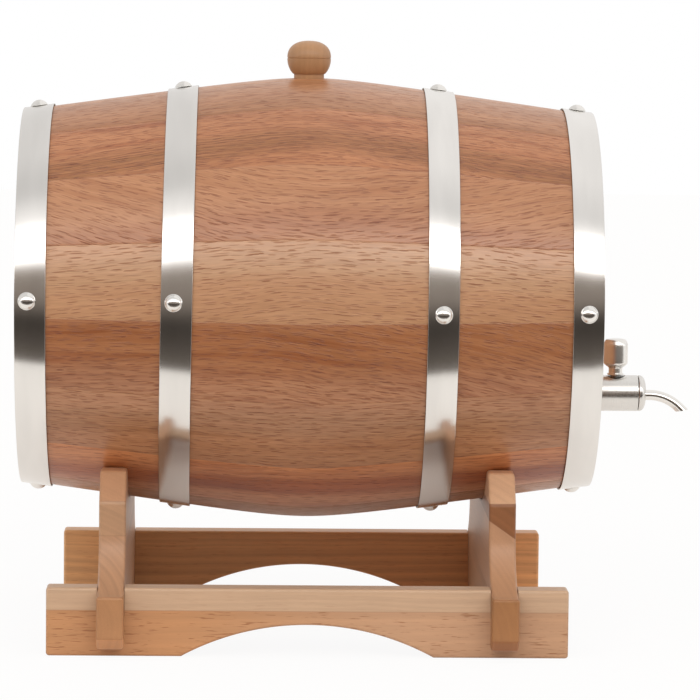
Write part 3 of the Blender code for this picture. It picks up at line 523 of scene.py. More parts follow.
def hoop_steel():
    """Strip brushed along its length, so the fine lines run round the cask."""
    def grow(tree):
        along, round_cask, depth = tree.attribute("grain").parts()
        lines = tree.noise(along * 3600, round_cask * 9, 2.0, 3.0, 0.6)
        smear = tree.noise(along * 60, round_cask * 12, 5.0, 3.0)
        colour = tree.blend(tree.step(smear, 0.3, 0.75), (0.80, 0.79, 0.77), STEEL_PALE)
        # Dark along the strip's sides and underside: partly the burr of its cut edge, partly painted shadow
        # where the hoop meets the staves.
        edge = tree.step(depth + GAP + HOOP_THICKNESS, 0.00004, 0.00020)
        colour = tree.blend(edge, colour, HOOP_EDGE_BURR_AND_SHADE)
        return {"Base Color": colour, "Roughness": 0.11 + lines * 0.07 + smear * 0.03 + edge * 0.2,
                "Normal": bump(tree, lines, 0.00002)}
    return finish("hoop_steel", grow, Metallic=1.0)


def turned_steel(name, shade=1.0):
    """Satin steel with the fine rings that the lathe left round the tap's axis."""
    def grow(tree):
        x, y, z = tree.spot().parts()
        rings = tree.noise(x * 4200, y * 5, z * 5, 2.0, 0.6)
        smear = tree.noise(x * 90, y * 90, z * 90, 3.0)
        grey = tree.blend(smear, (0.80, 0.79, 0.76), STEEL_PALE)
        colour = tree.scaled(grey, shade)
        return {"Base Color": colour, "Roughness": 0.19 + rings * 0.10 + smear * 0.04,
                "Normal": bump(tree, rings, 0.00003)}
    return finish(name, grow, Metallic=1.0)


def polished_steel(name, dull=0.0):
    """Polished steel with a little haze and a few scuffs. Dull adds to its roughness."""
    def grow(tree):
        x, y, z = tree.spot().parts()
        haze = tree.noise(x * 260, y * 260, z * 260, 4.0, 0.6)
        scuffs = tree.noise(x * 2400, y * 700, z * 900)
        colour = tree.blend(haze, (0.84, 0.83, 0.80), (0.89, 0.88, 0.86))
        rough = 0.04 + dull + haze * 0.05 + tree.step(scuffs, 0.6, 0.75) * 0.06
        return {"Base Color": colour, "Roughness": rough, "Normal": bump(tree, haze, 0.00001)}
    return finish(name, grow, Metallic=1.0)


def seal_rubber():
    def grow(tree):
        x, y, z = tree.spot().parts()
        grit = tree.noise(x * 3000, y * 3000, z * 3000, 3.0)
        bloom = tree.noise(x * 240, y * 240, z * 240)
        colour = tree.blend(bloom, (0.018, 0.018, 0.018), (0.035, 0.034, 0.033))
        return {"Base Color": colour, "Roughness": 0.55 + grit * 0.2, "Normal": bump(tree, grit, 0.00002)}
    return finish("seal_rubber", grow)


# Pieces

MERGE_REACH = 1e-7
FINE_SIDES = 128
ROUND_SIDES = 96
SMALL_SIDES = 64


def settle(name, obj, body, nodes, angle=30):
    """Gives a finished piece its name and shading, sets it on its body and hides the frame's nodes that it
    replaces.
    """
    obj.name = obj.data.name = name
    obj.data.shade_smooth()
    obj.data.set_sharp_from_angle(angle=math.radians(angle))
    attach(obj, body)
    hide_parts(*nodes)
    return obj


def mesh_object(name, bm, material=None):
    mesh = bpy.data.meshes.new(name)
    bm.to_mesh(mesh)
    bm.free()
    obj = bpy.data.objects.new(name, mesh)
    bpy.context.scene.collection.objects.link(obj)
    if material:
        mesh.materials.append(material)
    return obj


def applied(obj):
    """Swaps an object's mesh for what its modifiers make of it."""
    graph = bpy.context.evaluated_depsgraph_get()
    mesh = bpy.data.meshes.new_from_object(obj.evaluated_get(graph), preserve_all_data_layers=True,
                                           depsgraph=graph)
    obj.modifiers.clear()
    spare = obj.data
    obj.data = mesh
    bpy.data.meshes.remove(spare)
    return obj


def discard(obj):
    mesh = obj.data
    bpy.data.objects.remove(obj)
    bpy.data.meshes.remove(mesh)


def cut(obj, *tools):
    """Takes the tools out of an object, and clears them away."""
    for tool in tools:
        boolean = obj.modifiers.new("cut", "BOOLEAN")
        boolean.operation = "DIFFERENCE"
        boolean.solver = "EXACT"
        boolean.object = tool
    applied(obj)
    for tool in tools:
        discard(tool)
    return obj


def loft(sections, closed):
    """Skin over sections of equal point counts. The two end sections are capped unless closed."""
    bm = bmesh.new()
    rings = [[bm.verts.new(point) for point in section] for section in sections]
    following = rings[1:] + rings[:1] if closed else rings[1:]
    for ring, after in zip(rings, following):
        for i in range(len(ring)):
            j = (i + 1) % len(ring)
            bm.faces.new((ring[i], ring[j], after[j], after[i]))
    if not closed:
        bm.faces.new(rings[0])
        bm.faces.new(rings[-1])
    bmesh.ops.remove_doubles(bm, verts=bm.verts, dist=MERGE_REACH)
    bmesh.ops.recalc_face_normals(bm, faces=bm.faces)
    return bm


def turned(name, profile, sides, place, direction=UPRIGHT, material=None):
    """A piece turned on the lathe from (radius, height) points round its half section."""
    bm = bmesh.new()
    points = [bm.verts.new((radius, 0, height)) for radius, height in profile]
    pairs = list(zip(points, points[1:] + points[:1]))
    edges = [bm.edges.new(pair) for pair in pairs if pair[0].co.x or pair[1].co.x]
    bmesh.ops.spin(bm, geom=points + edges, axis=(0, 0, 1), cent=(0, 0, 0),
                   angle=2 * math.pi, steps=sides, use_merge=True)
    bmesh.ops.remove_doubles(bm, verts=bm.verts, dist=MERGE_REACH)
    bmesh.ops.recalc_face_normals(bm, faces=bm.faces)
    bmesh.ops.transform(bm, matrix=Matrix.Translation(place) @ direction, verts=bm.verts)
    return mesh_object(name, bm, material)


def rounded(profile, radii, steps=4):
    """A closed profile with corners rounded: radii gives the reach of each corner's rounding, or 0."""
    points = []
    count = len(profile)
    for i, reach in enumerate(radii):
        here = Vector(profile[i])
        if not reach:
            points.append(tuple(here))
            continue
        before = (Vector(profile[i - 1]) - here).normalized() * reach
        after = (Vector(profile[(i + 1) % count]) - here).normalized() * reach
        for step in range(steps + 1):
            t = step / steps
            points.append(tuple(here + before * (1 - t) ** 2 + after * t ** 2))
    return points


def rod(radius, low, high, place, direction=UPRIGHT, sides=SMALL_SIDES, top=None):
    top = radius if top is None else top
    return turned("cutter", [(0, low), (radius, low), (top, high), (0, high)], sides, place, direction)


# Geometry trees

def geometry_tree(name, inputs):
    """A geometry tree with named inputs of each kind, and its sockets by name."""
    group = bpy.data.node_groups.new(name, "GeometryNodeTree")
    for kind, labels in inputs.items():
        for label in labels:
            group.interface.new_socket(name=label, in_out="INPUT", socket_type=f"NodeSocket{kind}")
    group.interface.new_socket(name="Piece", in_out="OUTPUT", socket_type="NodeSocketGeometry")
    tree = Tree(group)
    source = group.nodes.new("NodeGroupInput")
    return group, tree, {socket.name: Socket(tree, socket) for socket in source.outputs if socket.name}


def end_tree(tree, piece, material):
    piece = tree.add("GeometryNodeRealizeInstances", {}, {"Geometry": piece})
    piece = tree.add("GeometryNodeSetMaterial", {}, {"Geometry": piece, "Material": material})
    tree.add("NodeGroupOutput", {}, {"Piece": piece})


def run_tree(obj, group, values):
    """Runs a geometry tree on an object with values for its named inputs, and keeps the result."""
    modifier = obj.modifiers.new("tree", "NODES")
    modifier.node_group = group
    for item in group.interface.items_tree:
        if item.in_out == "INPUT" and item.name in values:
            modifier[item.identifier] = values[item.name]
    return applied(obj)


# Staves and hoops, bent round the cask by one rule

STAVE_EASE = 0.0006
SEAM_EASE = 0.006
SEAM_DROP = 0.00008
SEAM_GAP = 0.00004
OUTER_STEPS = 64
INNER_STEPS = 24
TURN_STEPS = 14
HOOP_STEPS = 4
HOOP_CLIP = 0.86
HOOP_INNER_EASE = 0.00012
HOOP_OUTER_EASE = 0.0003
HOLE_OVER = 0.002

HOOPS = (
    ("rear_head_hoop", -HEAD_HOOP_X, 0),
    ("rear_bilge_hoop", -BILGE_HOOP_X, REAR_BILGE_HOOP_LEAN),
    ("front_bilge_hoop", BILGE_HOOP_X, FRONT_BILGE_HOOP_LEAN),
    ("front_head_hoop", HEAD_HOOP_X, 0),
)


def coopered_tree():
    """Bends a flat blank round the cask.

    A blank's X lies along the cask, its Y is its share of the turn from -0.5 to 0.5, and its Z is how
    far it lies under the outside of the staves.
    """
    group, tree, given = geometry_tree("coopered", {
        "Geometry": ["Blank"], "Vector": ["Cask", "Board", "Cut", "Band"], "Material": ["Finish"],
        "Float": ["Middle Angle", "Turn", "Joint", "Middle", "Lean", "Bilge Radius", "Bilge Softness",
                  "Flank Slope"]})

    def outside(x):
        slanted = x * given["Flank Slope"]
        soft = given["Bilge Softness"]
        return given["Bilge Radius"] + soft - (soft * soft + slanted * slanted) ** 0.5

    offset, share, depth = tree.add("GeometryNodeInputPosition").parts()
    along = given["Middle"] + offset
    radius = outside(along)
    turned_by = share * (given["Turn"] - given["Joint"] / (radius - depth))
    angle = given["Middle Angle"] + turned_by
    shifted = along + given["Lean"] * outside(given["Middle"]) * angle.alone("SINE")
    final = outside(shifted) - depth
    across = -(final * angle.alone("COSINE"))
    up = final * angle.alone("SINE")
    spot = tree.add("ShaderNodeVectorMath", {"operation": "ADD"},
                    {0: tree.vector(shifted, across, up), 1: given["Cask"]})
    grain = tree.vector(shifted, turned_by * radius, depth)
    piece = given["Blank"]
    for name, value in (("grain", grain), ("board", given["Board"]), ("cut", given["Cut"]),
                        ("band", given["Band"])):
        piece = tree.add("GeometryNodeStoreNamedAttribute",
                         {"data_type": "FLOAT_VECTOR", "domain": "POINT"},
                         {"Geometry": piece, "Name": name, "Value": value})
    piece = tree.add("GeometryNodeSetPosition", {}, {"Geometry": piece, "Position": spot})
    end_tree(tree, piece, given["Finish"])
    return group


def cooper(name, blank, group, finish_material, **values):
    given = {"Bilge Radius": BILGE_RADIUS, "Bilge Softness": BILGE_SOFTNESS, "Flank Slope": FLANK_SLOPE,
             "Cask": CASK, "Finish": finish_material}
    given.update({key.replace("_", " "): value for key, value in values.items()})
    return run_tree(mesh_object(name, blank), group, given)


def bilge_stations(reach, count):
    """Places along the cask from -reach to reach, closest together where the bilge bends most."""
    widest = math.asinh(FLANK_SLOPE * reach / BILGE_SOFTNESS)
    turns = [widest * (2 * i / count - 1) for i in range(count + 1)]
    return [BILGE_SOFTNESS / FLANK_SLOPE * math.sinh(turn) for turn in turns]


def stave_blank():
    """A straight stave blank with its chimes, its croze at each end and its eased outer edges."""
    slack = GAP * math.hypot(1, HEAD_BEVEL_SLOPE)
    floor = HEAD_TONGUE / 2 - HEAD_BEVEL_SLOPE * GAP + slack
    reach = HEAD_TONGUE / 2 + HEAD_BEVEL_SLOPE * (HEAD_RADIUS - inside_radius(HEAD_X)) + slack
    slope = HEAD_BEVEL_SLOPE * outside_slope(HEAD_X)
    mouth_out, mouth_in = HEAD_X + reach / (1 + slope), HEAD_X - reach / (1 - slope)
    bevel_x = HALF_LENGTH - CHIME_BEVEL
    ease = STAVE_EASE
    front = [
        (HALF_LENGTH - ease * 0.3, ease * 0.3), (HALF_LENGTH, ease),
        (HALF_LENGTH, CHIME_LIP - ease), (HALF_LENGTH - ease * 0.5, CHIME_LIP),
        (bevel_x, STAVE_THICKNESS), (mouth_out, STAVE_THICKNESS),
        (HEAD_X + floor, outside_radius(HEAD_X + floor) - CROZE_RADIUS),
        (HEAD_X - floor, outside_radius(HEAD_X - floor) - CROZE_RADIUS),
        (mouth_in, STAVE_THICKNESS),
    ]
    outer = [(x, 0) for x in bilge_stations(HALF_LENGTH - ease, OUTER_STEPS)]
    inner = [(x, STAVE_THICKNESS) for x in reversed(bilge_stations(mouth_in, INNER_STEPS)[1:-1])]
    rear = [(-x, depth) for x, depth in reversed(front)]
    profile = outer + front + inner + rear
    shares = [(-0.5, 1), (-0.5 + SEAM_EASE / 2, 0.35), (-0.5 + SEAM_EASE, 0)]
    shares += [(i / TURN_STEPS - 0.5, 0) for i in range(1, TURN_STEPS)]
    shares += [(-share, eased) for share, eased in reversed(shares[:3])]
    return loft([[(x, share, depth + (SEAM_DROP * eased if depth < CHIME_LIP / 2 else 0))
                  for x, depth in profile] for share, eased in shares], closed=False)


def hoop_blank():
    """A strip with eased edges whose last end rises to lap over the first, corners clipped."""
    turn = STAVE_COUNT * STEPS_PER_STAVE
    total = turn + LAP_STEPS
    half, top = HOOP_WIDTH / 2, -GAP - HOOP_THICKNESS
    section = rounded([(-half, -GAP), (half, -GAP), (half, top), (-half, top)],
                      [HOOP_INNER_EASE] * 2 + [HOOP_OUTER_EASE] * 2, 3)
    sections = []
    for i in range(total * HOOP_STEPS + 1):
        step = i / HOOP_STEPS
        lift = min(max(step - (turn - 1), 0), 1) * (HOOP_THICKNESS + GAP)
        narrow = HOOP_CLIP if step in (0, total) else 1
        sections.append([(x * narrow, step / total - 0.5, depth - lift) for x, depth in section])
    return loft(sections, closed=False)


# The staves from the first seam upwards: tone, redness, slant of the grain, gap between its rows of
# pores, and how far the grain bows. Stave 15's high tone is partly painted light: it brightens the
# lowest stave in view as warm light bounced up from the stand would.
STAVE_LOOKS = (
    (0.93, 0.05, 0.01, 0.0028, 0.07), (0.88, 0.50, -0.05, 0.0027, -0.30), (0.87, 0.85, 0.0, 0.0018, 0.06),
    (0.80, 0.55, 0.0, 0.0026, 0.05), (0.95, 0.45, 0.02, 0.0026, 0.1), (0.90, 0.6, 0.05, 0.0034, 0.3),
    (1.0, 0.2, -0.04, 0.0030, -0.1), (0.85, 0.9, 0.06, 0.0026, 0.2), (0.95, 0.4, 0.0, 0.0034, -0.3),
    (1.0, 0.1, -0.08, 0.0032, 0.1), (0.88, 0.8, 0.03, 0.0022, 0.1), (0.97, 0.3, 0.05, 0.0034, -0.2),
    (0.92, 0.6, -0.05, 0.0030, 0.3), (0.87, 0.7, 0.02, 0.0026, 0.1), (1.14, 0.90, -0.03, 0.0034, 0.1),
    (0.85, 0.45, -0.02, 0.0024, 0.06), (0.77, 0.90, -0.10, 0.0021, 0.16),
)


# The broad bands that some staves have: place across the stave, darkness, redness. Most are figure in
# the oak. Stave 1's band, pale and grey along its upper part, is partly a painted highlight. Stave 15's
# deep red band is partly painted warm light bounced up from the stand. Stave 17's band makes its lower
# part paler and greyer.
STAVE_BANDS_AND_PAINTED_LIGHT = {1: (0.013, 0.25, -0.8), 2: (-0.013, 0, 1.15), 3: (-0.005, 0.95, 0), 4: (-0.016, 0.4, 0.3),
               15: (0.004, 0.1, 2.7), 16: (0.010, 0.5, 0), 17: (-0.018, -0.1, -1.0)}


def stave_marks(stave, name):
    return stave.data.attributes[name].data


def make_staves(group, oak):
    staves = []
    for number, (tone, redness, *cut_of_grain) in enumerate(STAVE_LOOKS):
        name = f"stave_{number + 1:02d}"
        middle = FIRST_SEAM_ANGLE + (number + 0.5) * STAVE_ANGLE
        staves.append(cooper(f"oak_{name}", stave_blank(), group, oak, Middle_Angle=middle,
                             Turn=STAVE_ANGLE, Joint=SEAM_GAP, Cut=Vector(cut_of_grain),
                             Band=Vector(STAVE_BANDS_AND_PAINTED_LIGHT.get(number + 1, (0, 0, 0))),
                             Board=Vector((4.7 * number + 1.3, tone, redness))))
    bung_stave = staves[math.floor((math.pi / 2 - FIRST_SEAM_ANGLE) / STAVE_ANGLE)]
    taper = (BUNG_NECK_RADIUS - BUNG_TIP_RADIUS) / BUNG_PLUG_LENGTH
    kept = {name: stave_marks(bung_stave, name)[0].vector.copy() for name in ("board", "cut", "band")}
    cut(bung_stave, rod(BUNG_TIP_RADIUS + GAP, -BUNG_PLUG_LENGTH, HOLE_OVER, CREST,
                        top=BUNG_NECK_RADIUS + GAP + taper * HOLE_OVER))
    middle = FIRST_SEAM_ANGLE + (staves.index(bung_stave) + 0.5) * STAVE_ANGLE
    for i, vertex in enumerate(bung_stave.data.vertices):
        x, y, z = vertex.co - CASK
        radius = outside_radius(x)
        stave_marks(bung_stave, "grain")[i].vector = (x, (math.atan2(z, -y) - middle) * radius,
                                                      radius - math.hypot(y, z))
        for name, value in kept.items():
            stave_marks(bung_stave, name)[i].vector = value
    for number, stave in enumerate(staves):
        settle(f"oak_stave_{number + 1:02d}", stave, "cask", [f"stave_{number + 1:02d}"])


def make_hoops(group, steel):
    turn = STAVE_COUNT * STEPS_PER_STAVE
    first = round((math.pi - FIRST_SEAM_ANGLE) / STEP_ANGLE) - LAP_STEPS // 2
    total = (turn + LAP_STEPS) * STEP_ANGLE
    for name, middle, lean in HOOPS:
        hoop = cooper(f"steel_{name}", hoop_blank(), group, steel, Middle=middle, Lean=lean, Turn=total,
                      Middle_Angle=FIRST_SEAM_ANGLE + first * STEP_ANGLE + total / 2)
        settle(f"steel_{name}", hoop, "cask", [name])


# Nails

DOME_SHARES = (1, 0.93, 0.82, 0.68, 0.52, 0.35, 0.17)
NAIL_SIDES = 40
NAIL_LIP = 0.0003
NAIL_LIFT = 0.0001
NAIL_TILT = 0.03
TILT_SEED = 12


def nail_head():
    """A low domed head with a rounded lip."""
    ball = (NAIL_HEAD_RADIUS ** 2 + NAIL_HEAD_HEIGHT ** 2) / (2 * NAIL_HEAD_HEIGHT)
    reach = math.asin(NAIL_HEAD_RADIUS / ball)
    dome = [(ball * math.sin(reach * share), ball * (math.cos(reach * share) - math.cos(reach)))
            for share in DOME_SHARES]
    lip = [(0, 0), (NAIL_HEAD_RADIUS - NAIL_LIP, 0), (NAIL_HEAD_RADIUS, NAIL_LIP)]
    return turned("nail_head", lip + dome[1:] + [(0, NAIL_HEAD_HEIGHT)], NAIL_SIDES, (0, 0, 0))


def nailed_tree(head):
    """Stands a nail head on every point, square to the point's outward direction."""
    group, tree, given = geometry_tree("nailed", {
        "Geometry": ["Places"], "Object": ["Head"], "Float": ["Unevenness"], "Material": ["Finish"]})
    outwards = tree.add("GeometryNodeInputNamedAttribute", {"data_type": "FLOAT_VECTOR"},
                        {"Name": "outwards"})
    square = tree.add("FunctionNodeAlignRotationToVector", {"axis": "Z"}, {"Vector": outwards})
    most = given["Unevenness"]
    shake = tree.add("FunctionNodeRandomValue", {"data_type": "FLOAT_VECTOR"}, {
        0: tree.vector(-most, -most, -most), 1: tree.vector(most, most, most), "Seed": TILT_SEED})
    set_in = tree.add("FunctionNodeRotateRotation", {"rotation_space": "LOCAL"},
                      {0: square, 1: tree.add("FunctionNodeEulerToRotation", {}, {0: shake})})
    shape = tree.add("GeometryNodeObjectInfo", {}, {"Object": given["Head"]}, "Geometry")
    nails = tree.add("GeometryNodeInstanceOnPoints", {},
                     {"Points": given["Places"], "Instance": shape, "Rotation": set_in})
    end_tree(tree, nails, given["Finish"])
    return group


def nail_places():
    """Where each nail's head rests on its hoop, and which way it faces."""
    places = []
    for name, centre, lean in HOOPS:
        rear = centre < 0
        for i in range(NAIL_COUNT):
            first = rear and not i
            angle = 2 * math.pi * i / NAIL_COUNT if i else (REAR_NAIL_TURN if rear else 0)
            x = centre + lean * outside_radius(centre) * math.sin(angle)
            x -= REAR_NAIL_SHIFT if first else 0
            layers = 2 if abs(angle - math.pi) < STEP_ANGLE else 1
            radius = outside_radius(x) + layers * (HOOP_THICKNESS + GAP)
            outwards = Vector((-outside_slope(x), -math.cos(angle), math.sin(angle))).normalized()
            spot = CASK + Vector((x, -radius * math.cos(angle), radius * math.sin(angle)))
            places.append((spot + outwards * NAIL_LIFT, outwards))
    return places


def make_nails(steel):
    head = nail_head()
    bm = bmesh.new()
    places = nail_places()
    for spot, _ in places:
        bm.verts.new(spot)
    nails = mesh_object("steel_nails", bm)
    directions = nails.data.attributes.new("outwards", "FLOAT_VECTOR", "POINT")
    for item, (_, outwards) in zip(directions.data, places):
        item.vector = outwards
    run_tree(nails, nailed_tree(head), {"Head": head, "Unevenness": NAIL_TILT, "Finish": steel})
    discard(head)
    replaced = [f"{name[:-5]}_nail_{i + 1}" for name, _, _ in HOOPS for i in range(NAIL_COUNT)]
    settle("steel_nails", nails, "cask", replaced, 50)


# Bung

BUNG_LINES = 22
BUNG_TIP_EASE = 0.0006
BUNG_NECK_EASE = 0.0002


def bung_curve(height, level):
    return BUNG_KNOB_RADIUS * (1 - (abs(level) / height) ** BUNG_ROUNDNESS) ** (1 / BUNG_ROUNDNESS)


def make_bung(oak):
    """The turned bung: tapered plug, neck, ring, knob with a line round its belt, rounded crown."""
    neck_top = BUNG_NECK_HEIGHT
    belt = neck_top + BUNG_KNOB_FOOT
    below = [BUNG_KNOB_FOOT * (i / BUNG_LINES - 1) for i in range(BUNG_LINES - 1)]
    above = [BUNG_CROWN_HEIGHT * math.sin(math.pi / 2 * i / BUNG_LINES) for i in range(1, BUNG_LINES)]
    step_radius = bung_curve(BUNG_UNDERCURVE, BUNG_KNOB_FOOT) - BUNG_STEP
    groove = belt - BUNG_GROOVE
    step, ease = neck_top - BUNG_STEP, BUNG_NECK_EASE
    profile = ([(0, -BUNG_PLUG_LENGTH), (BUNG_TIP_RADIUS - BUNG_TIP_EASE, -BUNG_PLUG_LENGTH),
                (BUNG_TIP_RADIUS, -BUNG_PLUG_LENGTH + BUNG_TIP_EASE), (BUNG_NECK_RADIUS, 0),
                (BUNG_NECK_RADIUS, step - ease), (BUNG_NECK_RADIUS + ease, step), (step_radius, step)]
               + [(bung_curve(BUNG_UNDERCURVE, level), belt + level) for level in below]
               + [(BUNG_KNOB_RADIUS, groove - BUNG_GROOVE),
                  (BUNG_KNOB_RADIUS - BUNG_GROOVE, groove), (BUNG_KNOB_RADIUS, belt)]
               + [(bung_curve(BUNG_CROWN_HEIGHT, level), belt + level) for level in above]
               + [(0, belt + BUNG_CROWN_HEIGHT)])
    bung = turned("oak_bung", profile, ROUND_SIDES, CREST, material=oak)
    settle("oak_bung", bung, "bung", ["bung"])


# Tap

NOSE_LINES = 12
NOSE_LIP = 0.0004


def make_tap(steel, polished, rubber):
    socket = TAP_END_X - NOSE_SPIGOT_LENGTH - GAP
    bore = NOSE_SPIGOT_RADIUS + GAP
    body = [(FLOW_RADIUS, TAIL_END_X), (TAIL_RADIUS - TAIL_CHAMFER, TAIL_END_X),
            (TAIL_RADIUS, TAIL_END_X + TAIL_CHAMFER), (TAIL_RADIUS, TAP_SHOULDER_X),
            (TAP_RADIUS, TAP_SHOULDER_X), (TAP_RADIUS, TAP_END_X), (bore, TAP_END_X), (bore, socket),
            (FLOW_RADIUS, socket)]
    body = rounded(body, [0, 0, 0, 0, 0.0005, 0.0004, 0.0001, 0, 0])
    body = turned("tap_body", body, FINE_SIDES, TAP, ALONG_X, steel)
    valve = TAP + Vector((VALVE_X, 0, 0))
    cut(body, rod(VALVE_BORE_RADIUS, -VALVE_DEPTH - GAP, TAP_RADIUS + HOLE_OVER, valve, sides=ROUND_SIDES))
    settle("satin_tap_body", body, "cask", ["tap_body"])

    rim = TAP_END_X + GAP
    start = TAP_END_X - NOSE_SPIGOT_LENGTH
    front = []
    for i in range(1, NOSE_LINES + 1):
        turn = math.pi / 2 * i / NOSE_LINES
        front.append((NOSE_TIP_RADIUS + (TAP_RADIUS - NOSE_TIP_RADIUS) * math.cos(turn),
                      rim + NOSE_RIM + NOSE_ROUNDING * math.sin(turn)))
    nose = [(0, start), (NOSE_SPIGOT_RADIUS, start), (NOSE_SPIGOT_RADIUS, rim), (TAP_RADIUS - NOSE_LIP, rim),
            (TAP_RADIUS - NOSE_LIP / 4, rim + NOSE_LIP / 4), (TAP_RADIUS, rim + NOSE_LIP),
            (TAP_RADIUS, rim + NOSE_RIM)] + front + [(0, NOSE_FRONT_X)]
    nose = turned("tap_nose", nose, FINE_SIDES, TAP, ALONG_X, steel)
    sunk = TAP - Vector((0, 0, SPOUT_SAG))
    seat = NOSE_FRONT_X - SPOUT_SEAT - GAP
    cut(nose, rod(SPOUT_BORE_RADIUS, start - HOLE_OVER, NOSE_FRONT_X, sunk, ALONG_X),
        rod(SPOUT_RADIUS + GAP / 2, seat, NOSE_FRONT_X + HOLE_OVER, sunk, ALONG_X))
    settle("satin_tap_nose", nose, "cask", ["tap_nose"])

    spout = mesh_object("bent_spout", spout_mesh(sunk), polished)
    settle("bent_spout", spout, "cask", ["tap_spout"])

    inner = TAIL_RADIUS + GAP
    washer = rounded([(inner, 0), (OUTER_WASHER_RADIUS, 0), (OUTER_WASHER_RADIUS, WASHER_THICKNESS),
                      (inner, WASHER_THICKNESS)], [0, 0.0006, 0.0006, 0])
    washer_place = TAP + Vector((HEAD_FACE_X + GAP, 0, 0))
    washer = turned("washer", washer, ROUND_SIDES, washer_place, ALONG_X, rubber)
    settle("rubber_outer_washer", washer, "cask", ["tap_outer_washer"])

    low, high = VALVE_SHOULDER + GAP, TAP_RADIUS - GLAND_INSET
    gland = rounded([(STEM_RADIUS + GAP, low), (GLAND_RADIUS, low), (GLAND_RADIUS, high),
                     (STEM_RADIUS + GAP, high)], [0, 0.0002, 0.0004, 0.0002])
    # The gland ring's steel is darkened to 0.16 as painted shadow and dark reflection round the foot of the
    # knob.
    gland = turned("gland", gland, SMALL_SIDES, valve, material=turned_steel("tap_gland_steel_darkened_as_shade", 0.16))
    settle("satin_gland_ring", gland, "cask", ["tap_gland_ring"])
    dull_steel = polished_steel("tap_knob_steel", 0.22)
    knob = turned("knob", knob_profile(), ROUND_SIDES, valve, material=dull_steel)
    settle("polished_tap_knob", knob, "tap_valve", ["tap_knob"])


def knob_profile():
    """Half section of the knob: foot, neck, taper, rounded grip and crown, with a hole for the stem."""
    foot = TAP_RADIUS + GAP
    neck = foot + KNOB_FOOT_HEIGHT
    taper = neck + KNOB_NECK_HEIGHT
    grip = taper + KNOB_TAPER
    crown = grip + KNOB_GRIP_HEIGHT
    hole = STEM_RADIUS + GAP
    roof = foot + STEM_GRIP + GAP
    corners = [
        (hole, foot, 0), (KNOB_FOOT_RADIUS, foot, 0.0002), (KNOB_FOOT_RADIUS, neck, 0.0004),
        (KNOB_NECK_RADIUS, neck, 0.0003), (KNOB_NECK_RADIUS, taper, 0.0005), (KNOB_RADIUS, grip, 0.0009),
        (KNOB_RADIUS, crown, 0.0016), (KNOB_CROWN_RADIUS, crown + KNOB_CROWN_HEIGHT, 0.0012),
        (0, crown + KNOB_CROWN_HEIGHT, 0), (0, roof, 0), (hole, roof, 0),
    ]
    return rounded([corner[:2] for corner in corners], [corner[2] for corner in corners], 6)


def spout_mesh(sunk):
    """The bent tube with its open mouth cut nearly level."""
    sides, bends = 48, 28
    path = [(NOSE_FRONT_X - SPOUT_SEAT, 0, 0), (NOSE_FRONT_X, 0, 0)]
    for i in range(bends + 1):
        lean = SPOUT_BEND_ANGLE * i / bends
        path.append((SPOUT_BEND_X + SPOUT_BEND_RADIUS * math.sin(lean),
                     -SPOUT_BEND_RADIUS * (1 - math.cos(lean)), lean))

    def ring_point(x, z, lean, radius, turn, further=0.0):
        lift = radius * math.cos(turn)
        return sunk + Vector((x + lift * math.sin(lean) + further * math.cos(lean),
                              radius * math.sin(turn),
                              z + lift * math.cos(lean) - further * math.sin(lean)))

    def mouth_point(radius, turn, back):
        further = radius * math.cos(turn) / math.tan(SPOUT_CUT_ANGLE) - back
        return ring_point(SPOUT_TIP_X, -SPOUT_DROP, SPOUT_BEND_ANGLE, radius, turn, further)

    ease = 0.00018
    sections = []
    for side in range(sides):
        turn = 2 * math.pi * side / sides
        outside = [ring_point(*spot, SPOUT_RADIUS, turn) for spot in path]
        bore = [ring_point(*spot, SPOUT_BORE_RADIUS, turn) for spot in reversed(path)]
        mouth = [mouth_point(SPOUT_RADIUS, turn, ease), mouth_point(SPOUT_RADIUS - ease, turn, 0),
                 mouth_point(SPOUT_BORE_RADIUS + ease, turn, 0), mouth_point(SPOUT_BORE_RADIUS, turn, ease)]
        sections.append(outside + mouth + bore)
    return loft(sections, closed=True)


# Stand

ARCH_STEPS = 48
CRADLE_STEPS = 56
FLARE_STEPS = 20
EASE_STEPS = 4
EASED_ANGLE = math.radians(40)
SAW_OVER = 0.004


def arc(centre, radius, start, end, steps):
    turns = [start + (end - start) * i / steps for i in range(steps + 1)]
    return [(centre[0] + radius * math.cos(turn), centre[1] + radius * math.sin(turn)) for turn in turns]


def rail_outline():
    half = RAIL_LENGTH / 2
    radius = (ARCH_WIDTH ** 2 / 4 + ARCH_HEIGHT ** 2) / (2 * ARCH_HEIGHT)
    reach = math.asin(ARCH_WIDTH / 2 / radius)
    arch = arc((0, ARCH_HEIGHT - radius), radius, math.pi / 2 + reach, math.pi / 2 - reach, ARCH_STEPS)
    return [(-half, 0)] + arch + [(half, 0), (half, RAIL_HEIGHT), (-half, RAIL_HEIGHT)]


def saddle_outline():
    half = SADDLE_SPAN / 2
    lean = math.acos(1 - HORN_RISE / CRADLE_RADIUS)
    cradle = arc((0, AXIS_HEIGHT), CRADLE_RADIUS, -math.pi / 2 - lean, -math.pi / 2 + lean, CRADLE_STEPS)
    horn = cradle[-1][0] + HORN_WIDTH
    flank = horn + HORN_CHAMFER
    flank_top = HORN_HEIGHT - HORN_CHAMFER
    flank_foot = flank_top - HORN_FLANK
    turns = [math.pi / 2 * i / FLARE_STEPS for i in range(FLARE_STEPS + 1)]
    flare = [(flank + (half - flank) * (1 - math.cos(turn)),
              flank_foot - (flank_foot - FOOT_HEIGHT) * math.sin(turn)) for turn in turns]
    side = [(horn, HORN_HEIGHT), (flank, flank_top)] + flare
    side += [(half, SADDLE_CLEARANCE + FOOT_CHAMFER), (half - FOOT_CHAMFER, SADDLE_CLEARANCE)]
    return cradle + side + [(-y, z) for y, z in reversed(side)]


